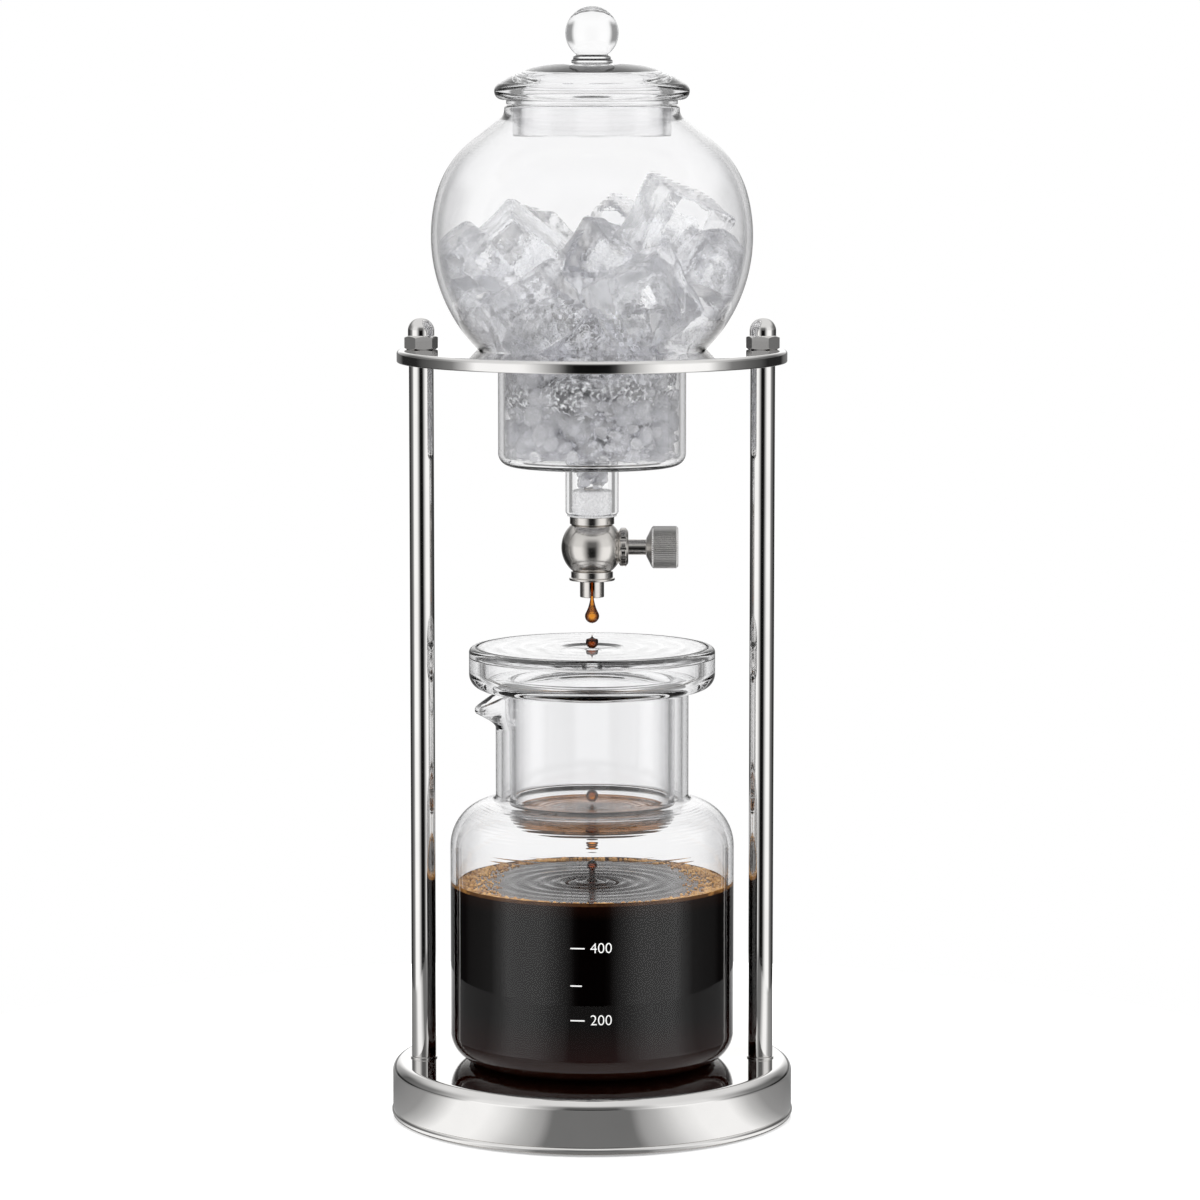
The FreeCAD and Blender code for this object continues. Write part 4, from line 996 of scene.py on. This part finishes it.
# Drops, and the splash jet: a neck that widens into the surface and carries a bead
def buildDrops(drops, jet, level):
    for name, body, liquid, centre, radius, tail in drops:
        line = dropLine(centre, radius, *tail) if tail else arcLine((0, centre), radius, -90, 90, 6)
        turnedPiece(name, line, 40, False, liquid, body, sharp=80)
    height = np.linspace(0, 1, 30)
    neck = np.stack([jet["neck"] + jet["spread"] * np.exp(-height * jet["fade"]),
                     level + jet["foot"] + height * jet["height"]], 1)
    bead = arcLine((0, level + jet["beadHeight"]), jet["bead"], -57, 90, 8)
    turnedPiece("splashJet", np.concatenate([[(0, level + jet["foot"])], neck, bead]), 48, False, darkDrop, "jug",
                sharp=80)


buildDrops(dropLook, jetLook, coffeeLook["level"])

filmLook = {"bottom": 109.1, "top": 113.9, "radius": 28.25, "round": 4.3, "ripple": 0.16, "rippleLength": 3.1,
            "fade": 11.0, "climb": 0.7, "climbLength": 0.6}


# Liquid on the cup's floor: rippled round the drop, climbing at the glass
def buildFilm(look):
    material, tree, shader = newMaterial("weakBrew")
    tone = toneOf(tree, objectNoise(tree, 120.0), ((0.45, 0.24, 0.12), (0.34, 0.16, 0.07)))
    setInputs(shader, {"Transmission Weight": 1.0, "IOR": 1.33, "Roughness": 0.0, "Base Color": tone})
    letLampsThrough(tree, shader)
    radius = look["radius"]
    distance = np.linspace(radius, 0, 110)
    ripple = rippled(distance, look["ripple"], look["rippleLength"], look["fade"])
    climb = look["climb"] * np.exp(-(radius - distance) / look["climbLength"])
    foot = openLine([(0, look["bottom"]), (radius, look["bottom"]), (radius, look["top"])], [look["round"]])
    top = np.stack([distance, look["top"] + ripple + climb], 1)
    turnedPiece("brewFilm", np.concatenate([foot[:-1], top]), 128, False, material, "cup", sharp=60)


buildFilm(filmLook)


# Foam and ice are many small shapes of one kind, each turned, stretched and placed

# Points and triangles of a ball of near-even triangles
def ballGrid(level):
    work = bmesh.new()
    bmesh.ops.create_icosphere(work, subdivisions=level, radius=1.0)
    points = np.array([v.co[:] for v in work.verts])
    faces = np.array([[v.index for v in f.verts] for f in work.faces])
    work.free()
    return points, faces


# Random rotations, from unit quaternions
def turnsFrom(randoms, count):
    q = randoms.normal(size=(count, 4))
    q /= np.linalg.norm(q, axis=1)[:, None]
    w, x, y, z = q.T
    return np.stack([
        np.stack([1 - 2 * (y * y + z * z), 2 * (x * y - w * z), 2 * (x * z + w * y)], 1),
        np.stack([2 * (x * y + w * z), 1 - 2 * (x * x + z * z), 2 * (y * z - w * x)], 1),
        np.stack([2 * (x * z - w * y), 2 * (y * z + w * x), 1 - 2 * (x * x + y * y)], 1)], 1)


def manyFaces(faces, count, pointCount):
    return (faces[None] + (np.arange(count) * pointCount)[:, None, None]).reshape(-1, faces.shape[1])


foamLook = {"count": 1500, "edge": 49.4, "narrow": 1.3, "wide": 16.5, "sideShare": 0.78, "sideSpread": 0.62,
            "size": (0.25, 0.95), "fade": 16.0, "seed": 5}


# Golden bubbles along the glass: more and wider at the left and right
def buildFoam(look):
    material, tree, shader = newMaterial("foam")
    tone = toneOf(tree, objectNoise(tree, 260.0), ((0.85, 0.52, 0.2), (0.3, 0.13, 0.04)))
    setInputs(shader, {"Transmission Weight": 0.3, "IOR": 1.33, "Roughness": 0.05, "Base Color": tone})
    letLampsThrough(tree, shader)
    randoms = np.random.default_rng(look["seed"])
    count = look["count"]
    sides = int(count * look["sideShare"])
    turn = np.concatenate([randoms.normal(0, look["sideSpread"], sides) + math.pi * randoms.integers(0, 2, sides),
                           randoms.uniform(0, fullTurn, count - sides)])
    inward = (look["narrow"] + look["wide"] * np.abs(np.cos(turn)) ** 3) * randoms.beta(0.8, 1.9, count)
    size = randoms.uniform(*look["size"], count) * np.exp(-inward / look["fade"])
    away = look["edge"] - size * 0.8 - inward
    climb = coffeeLook["climb"] * np.exp(-(look["edge"] - away) / coffeeLook["climbLength"]) / 2
    ball, faces = ballGrid(2)
    centres = turnedPoints(away, coffeeLook["level"] + climb + size * 0.15, turn)
    makePiece("coffeeFoam", centres[:, None] + ball * size[:, None, None], manyFaces(faces, count, len(ball)),
              material, "jug", sharp=80)


buildFoam(foamLook)
report("coffee poured")


# Ice

iceTones = ((0.995, 0.997, 1.0), (0.97, 0.975, 0.985))
cubeIce = iceMaterial("cubeIce", 0.945, (0.0, 0.05), 300.0, 0.0005, iceTones)
brokenIce = iceMaterial("brokenIce", 0.82, (0.0, 0.06), 620.0, 0.0008, iceTones)

iceLook = {
    "round": 2.6, "grid": 17, "dent": 0.6, "wave": 0.3, "globeInside": 55.7, "coreInside": 54.2,
    "core": (0.55, 0.5, 0.6),
    # centre (x, y, z), turns about x, y and z in degrees, and edge in mm
    "cubes": [
        (-28.0, -12.0, 316.5, 22, 40, 18, 27.0),
        (-20.0, -26.0, 297.0, -16, -30, 28, 26.0),
        (17.5, -24.0, 301.0, 18, -20, -30, 28.5),
        (30.0, -7.0, 326.5, 22, 20, 34, 27.0),
        (43.0, -13.0, 311.0, 10, 42, -20, 23.0),
        (5.0, -4.0, 312.0, 35, 14, 45, 25.0),
        (-44.0, -8.0, 312.0, 15, -38, 12, 23.0),
        (-20.0, 20.0, 315.0, 40, 10, 60, 26.0),
        (10.0, 24.0, 320.0, -20, 30, 10, 25.0),
        (38.0, 16.0, 313.0, 30, -15, 50, 25.0),
        (-40.0, -18.0, 296.0, 12, 24, -30, 23.0),
        (0.0, -27.0, 284.0, 25, 45, 5, 21.0),
        (-8.0, 2.0, 296.0, 50, 20, 15, 24.0),
        (16.0, 0.0, 288.0, 15, -35, 40, 22.0),
        (38.0, -16.0, 292.0, -25, 18, 20, 22.0),
        (-24.0, 10.0, 287.0, 33, 8, -40, 22.0),
        (6.0, 28.0, 294.0, 10, 50, 22, 24.0),
        (-44.0, 14.0, 303.0, 20, 15, -40, 22.0),
    ],
    "seed": 11,
}


# The six sides of a cube from -1 to 1 as grids
def cubeGrid(count):
    a, b = np.meshgrid(*[np.linspace(-1, 1, count)] * 2, indexing="ij")
    one = np.ones_like(a)
    sides = [np.stack(t, -1).reshape(-1, 3)
             for t in ((one, a, b), (-one, b, a), (b, one, a), (a, -one, b), (a, b, one), (b, a, -one))]
    return np.concatenate(sides), manyFaces(gridFaces(count, count, False, False), 6, count * count)


# Points moved so that none is farther than radius from the globe's centre, where they lie flat on the glass
def insideGlobe(points, radius):
    globe = np.array([0, 0, vesselSizes["globeCentre"]])
    reach = np.linalg.norm(points - globe, axis=1)
    return globe + (points - globe) * np.minimum(1, radius / reach)[:, None]


# Rounded cubes: nearest point of a smaller cube plus the rounding, dented in the middle of each side and
# waved by a few crossing sines. The cores are lumpy balls for the cloudy hearts.
def iceShapes(look):
    grid, faces = cubeGrid(look["grid"])
    ball, ballFaces = ballGrid(4)
    randoms = np.random.default_rng(look["seed"])
    cubes, cores = [], []
    for *centre, turnX, turnY, turnZ, edge in look["cubes"]:
        half = edge / 2
        inner = np.clip(grid * half, look["round"] - half, half - look["round"])
        out = grid * half - inner
        points = inner + look["round"] * out / np.linalg.norm(out, axis=1)[:, None]
        across = np.sort(np.abs(grid), axis=1)[:, :2]
        points *= (1 - look["dent"] / half * np.exp(-3.5 * (across ** 2).sum(1)))[:, None]
        waves = randoms.normal(size=(5, 3)) * 0.3
        swell = np.sin(points @ waves.T + randoms.uniform(0, 6.28, 5)).sum(1) * look["wave"] / 2
        points *= (1 + swell / half)[:, None]
        turn = np.array(Euler([math.radians(t) for t in (turnX, turnY, turnZ)]).to_matrix())
        cubes.append(insideGlobe(points @ turn.T + centre, look["globeInside"]))
        waves = randoms.normal(size=(6, 3)) * 2.6
        lumps = 1 + 0.16 * np.sin(ball @ waves.T + randoms.uniform(0, 6.28, 6)).sum(1) / 2
        core = ball * lumps[:, None] * half * np.array(look["core"])
        cores.append(insideGlobe(core @ turn.T + centre, look["coreInside"]))
    return cubes, manyFaces(faces, len(cubes), len(grid)), cores, manyFaces(ballFaces, len(cores), len(ball))


# Cloudy heart of ice: a thin white haze in threads and specks, clear between them
def frostMaterial(name, most):
    material, tree, shader = newMaterial(name)
    setInputs(shader, {"Base Color": (0.95, 0.96, 0.98, 1), "Roughness": 0.6})
    haze = spread(tree, objectNoise(tree, 640.0, 6.0), 0.0, most, 0.44, 0.72)
    showMix(tree, haze, addNode(tree, "BsdfTransparent"), shader)
    return material


cubes, cubeFaces, cores, coreFaces = iceShapes(iceLook)
makePiece("iceCubes", cubes, cubeFaces, cubeIce, "vessel", sharp=180)
makePiece("iceHearts", cores, coreFaces, frostMaterial("cubeFrost", 0.45), "vessel", sharp=180)

crushedLook = {
    "spacing": 5.2, "rise": 0.86, "jitter": 1.8, "size": (1.9, 4.8), "radius": 31.7, "floor": 242.2, "top": 283.0,
    "outlet": 7.2, "outletFloor": 231.4, "outletCount": 48, "outletHalf": 5.6, "outletSize": (1.4, 2.6), "seed": 23,
}


# Broken ice: stretched, lumpy balls on a jittered grid that fills the lower cylinder and the outlet
def buildCrushed(look):
    randoms = np.random.default_rng(look["seed"])
    step, rise = look["spacing"], look["spacing"] * look["rise"]
    side = np.arange(-6.5, 7) * step
    high = np.arange(look["floor"] + 2.2, look["top"], rise)
    x, y, z = np.meshgrid(side, side, high, indexing="ij")
    layer = np.round((z - high[0]) / rise).astype(int) % 2
    centres = np.stack([x + layer * step / 2, y + layer * step / 2, z], -1).reshape(-1, 3)
    centres += randoms.uniform(-look["jitter"], look["jitter"], centres.shape)
    size = randoms.uniform(*look["size"], len(centres))
    inside = np.hypot(centres[:, 0], centres[:, 1]) < look["radius"] - 0.45 * size
    few, half = look["outletCount"], look["outletHalf"]
    outlet = np.stack([randoms.uniform(-half, half, few), randoms.uniform(-half, half, few),
                       np.linspace(look["outletFloor"] + 1.2, look["floor"] + 1, few)], 1)
    centres = np.concatenate([centres[inside], outlet])
    size = np.concatenate([size[inside], randoms.uniform(*look["outletSize"], few)])
    ball, faces = ballGrid(2)
    count = len(centres)
    waves = randoms.normal(size=(count, 3, 3)) * 1.6
    phase = randoms.uniform(0, 6.28, (count, 1, 3))
    lumps = 1 + 0.11 * np.sin(np.einsum("pk,nwk->npw", ball, waves) + phase).sum(-1)
    stretch = randoms.uniform(0.72, 1.18, (count, 1, 3))
    points = ball[None] * lumps[..., None] * stretch * size[:, None, None]
    points = np.einsum("npk,njk->npj", points, turnsFrom(randoms, count)) + centres[:, None]
    points[..., 2] = np.maximum(points[..., 2], look["outletFloor"])
    away = np.hypot(points[..., 0], points[..., 1])
    limit = np.where(points[..., 2] < look["floor"] + 0.1, look["outlet"], look["radius"])
    points[..., :2] *= np.minimum(1, limit / np.maximum(away, 1e-6))[..., None]
    makePiece("crushedIce", points, manyFaces(faces, count, len(ball)), brokenIce, "vessel", sharp=34)


buildCrushed(crushedLook)

heartLook = {"seed": 31, "wide": 26.5, "high": 40.0, "middle": 264.0}


# Frozen-together middle of the broken ice: a barrel swollen by crossing sines
def buildHeart(look, floor):
    randoms = np.random.default_rng(look["seed"])
    ball, faces = ballGrid(5)
    waves = randoms.normal(size=(9, 3)) * 4.0
    lumps = 1 + 0.035 * np.sin(ball @ waves.T + randoms.uniform(0, 6.28, 9)).sum(1)
    squared = ball / np.maximum(np.hypot(ball[:, 0], ball[:, 1]) ** 0.6, 0.5)[:, None]
    points = squared * lumps[:, None] * np.array([look["wide"], look["wide"], look["high"] / 2])
    points[:, 2] = np.maximum(points[:, 2] + look["middle"], floor + 0.4)
    makePiece("crushedHeart", points, faces, frostMaterial("heartFrost", 1.0), "vessel", sharp=180)


buildHeart(heartLook, crushedLook["floor"])
report("ice filled")


# Volume marks on the carafe's front: plain numbers and dashes, white enamel on the glass

markLook = {
    "radius": 52.04, "thickness": 0.08, "dashStart": -7.7, "dashHeight": 0.45, "digitHeight": 3.75, "capShare": 0.7,
    "left": -0.7, "thin": -0.05,
    # height, number, end of the dash
    "rows": [(71.0, "400", -2.6), (57.4, "", -3.6), (44.8, "200", -2.6)],
}


# Places on the front wrapped on the glass: turn = distance along the front over the radius
def wrapped(look, along, up, proud):
    turn, depth = along / look["radius"], look["radius"] + proud
    return np.stack([depth * np.sin(turn), -depth * np.cos(turn), up + 0 * turn], -1)


# A dash is a bar of four edges, closed at both ends
def buildDash(look, name, z, end, enamel):
    outline = np.array([(-0.5, 0), (0.5, 0), (0.5, 1), (-0.5, 1)])
    along = np.linspace(look["dashStart"], end, 13)[:, None]
    points = wrapped(look, along, z + outline[:, 0] * look["dashHeight"], outline[:, 1] * look["thickness"])
    last = 12 * 4
    faces = gridFaces(13, 4).tolist() + [[3, 2, 1, 0], [last, last + 1, last + 2, last + 3]]
    makePiece(name, points, faces, enamel, "jug", sharp=30)


def buildNumber(look, name, z, digits, enamel):
    data = bpy.data.curves.new("digits", "FONT")
    data.body, data.size = digits, look["digitHeight"] / look["capShare"]
    data.extrude, data.align_y = look["thickness"] / 2, "CENTER"
    data.resolution_u, data.offset = 6, look["thin"]
    holder = bpy.data.objects.new("digits", data)
    scene.collection.objects.link(holder)
    bpy.context.view_layer.update()
    flat = bpy.data.meshes.new_from_object(holder.evaluated_get(bpy.context.evaluated_depsgraph_get()))
    bpy.data.objects.remove(holder)
    points = np.zeros(len(flat.vertices) * 3)
    flat.vertices.foreach_get("co", points)
    x, y, depth = points.reshape(-1, 3).T
    places = wrapped(look, x + look["left"], z + y, look["thickness"] / 2 + depth) * mm
    flat.vertices.foreach_set("co", places.ravel())
    flat.name = name
    mergeDoubles(flat, 1e-7, False)
    flat.materials.clear()
    finishPiece(name, flat, enamel, "jug", sharp=30)


def buildMarks(look):
    enamel = plainMaterial("whiteEnamel", ((0.93, 0.93, 0.92), (0.88, 0.88, 0.87)), (0.3, 0.45), 900.0, 0.000005)
    for z, digits, dashEnd in look["rows"]:
        buildDash(look, f"dashAt{round(z)}", z, dashEnd, enamel)
        if digits:
            buildNumber(look, f"numberAt{round(z)}", z, digits, enamel)


buildMarks(markLook)
report("marks drawn")


# Floor

floorLook = {
    "radius": 0.3, "albedo": 0.8, "glow": 0.36, "edgeGlow": 1.0,
    # shares of the radius between which the glow rises
    "rise": (0.42, 0.95),
    # what polished metal sees of the floor: degrees from the camera's side, and how bright
    "mirrored": [(0, 0.2), (16, 0.2), (20, 0.42), (27, 0.6), (36, 0.95), (45, 1.15), (62, 1.15), (74, 0.62),
                 (84, 0.36), (116, 0.22), (140, 0.3), (158, 0.85), (180, 0.9)],
}


# Plain white floor: its own light tops its colour up to white for the eye, more so far from the tower, and
# it keeps the shadow
def floorMaterial(look):
    material, tree, shader = newMaterial("floor")
    setInputs(shader, {"Base Color": asColour(look["albedo"]), "Roughness": 0.25, "IOR": 1.3})
    place = placeOf(tree)
    away = setInputs(addNode(tree, "VectorMath", operation="LENGTH"), {0: place}).outputs["Value"]
    begin, full = [look["radius"] * share for share in look["rise"]]
    reach = spread(tree, away, look["glow"], look["edgeGlow"], begin, full)
    path = addNode(tree, "LightPath").outputs
    seen = mathOf(tree, "MAXIMUM", path["Is Camera Ray"], path["Is Transmission Ray"])
    glow = setInputs(addNode(tree, "Emission"), {1: mathOf(tree, "MULTIPLY", seen, reach)})
    both = setInputs(addNode(tree, "AddShader"), {0: shader.outputs[0], 1: glow.outputs[0]})
    mirrored = horizonOf(tree, turnFromFront(tree, axesOf(tree, place)), look["mirrored"])
    showMix(tree, path["Is Glossy Ray"], both, setInputs(addNode(tree, "Emission"), {0: mirrored}))
    return material


def buildFloor(look):
    turn = turnsOf(128)
    mesh = bpy.data.meshes.new("floor")
    mesh.from_pydata(turnedPoints(look["radius"], 0, turn).tolist(), [], [list(range(len(turn)))])
    mesh.materials.append(floorMaterial(look))
    ground = bpy.data.objects.new("floor", mesh)
    scene.collection.objects.link(ground)


buildFloor(floorLook)

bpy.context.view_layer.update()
report("scene ready")
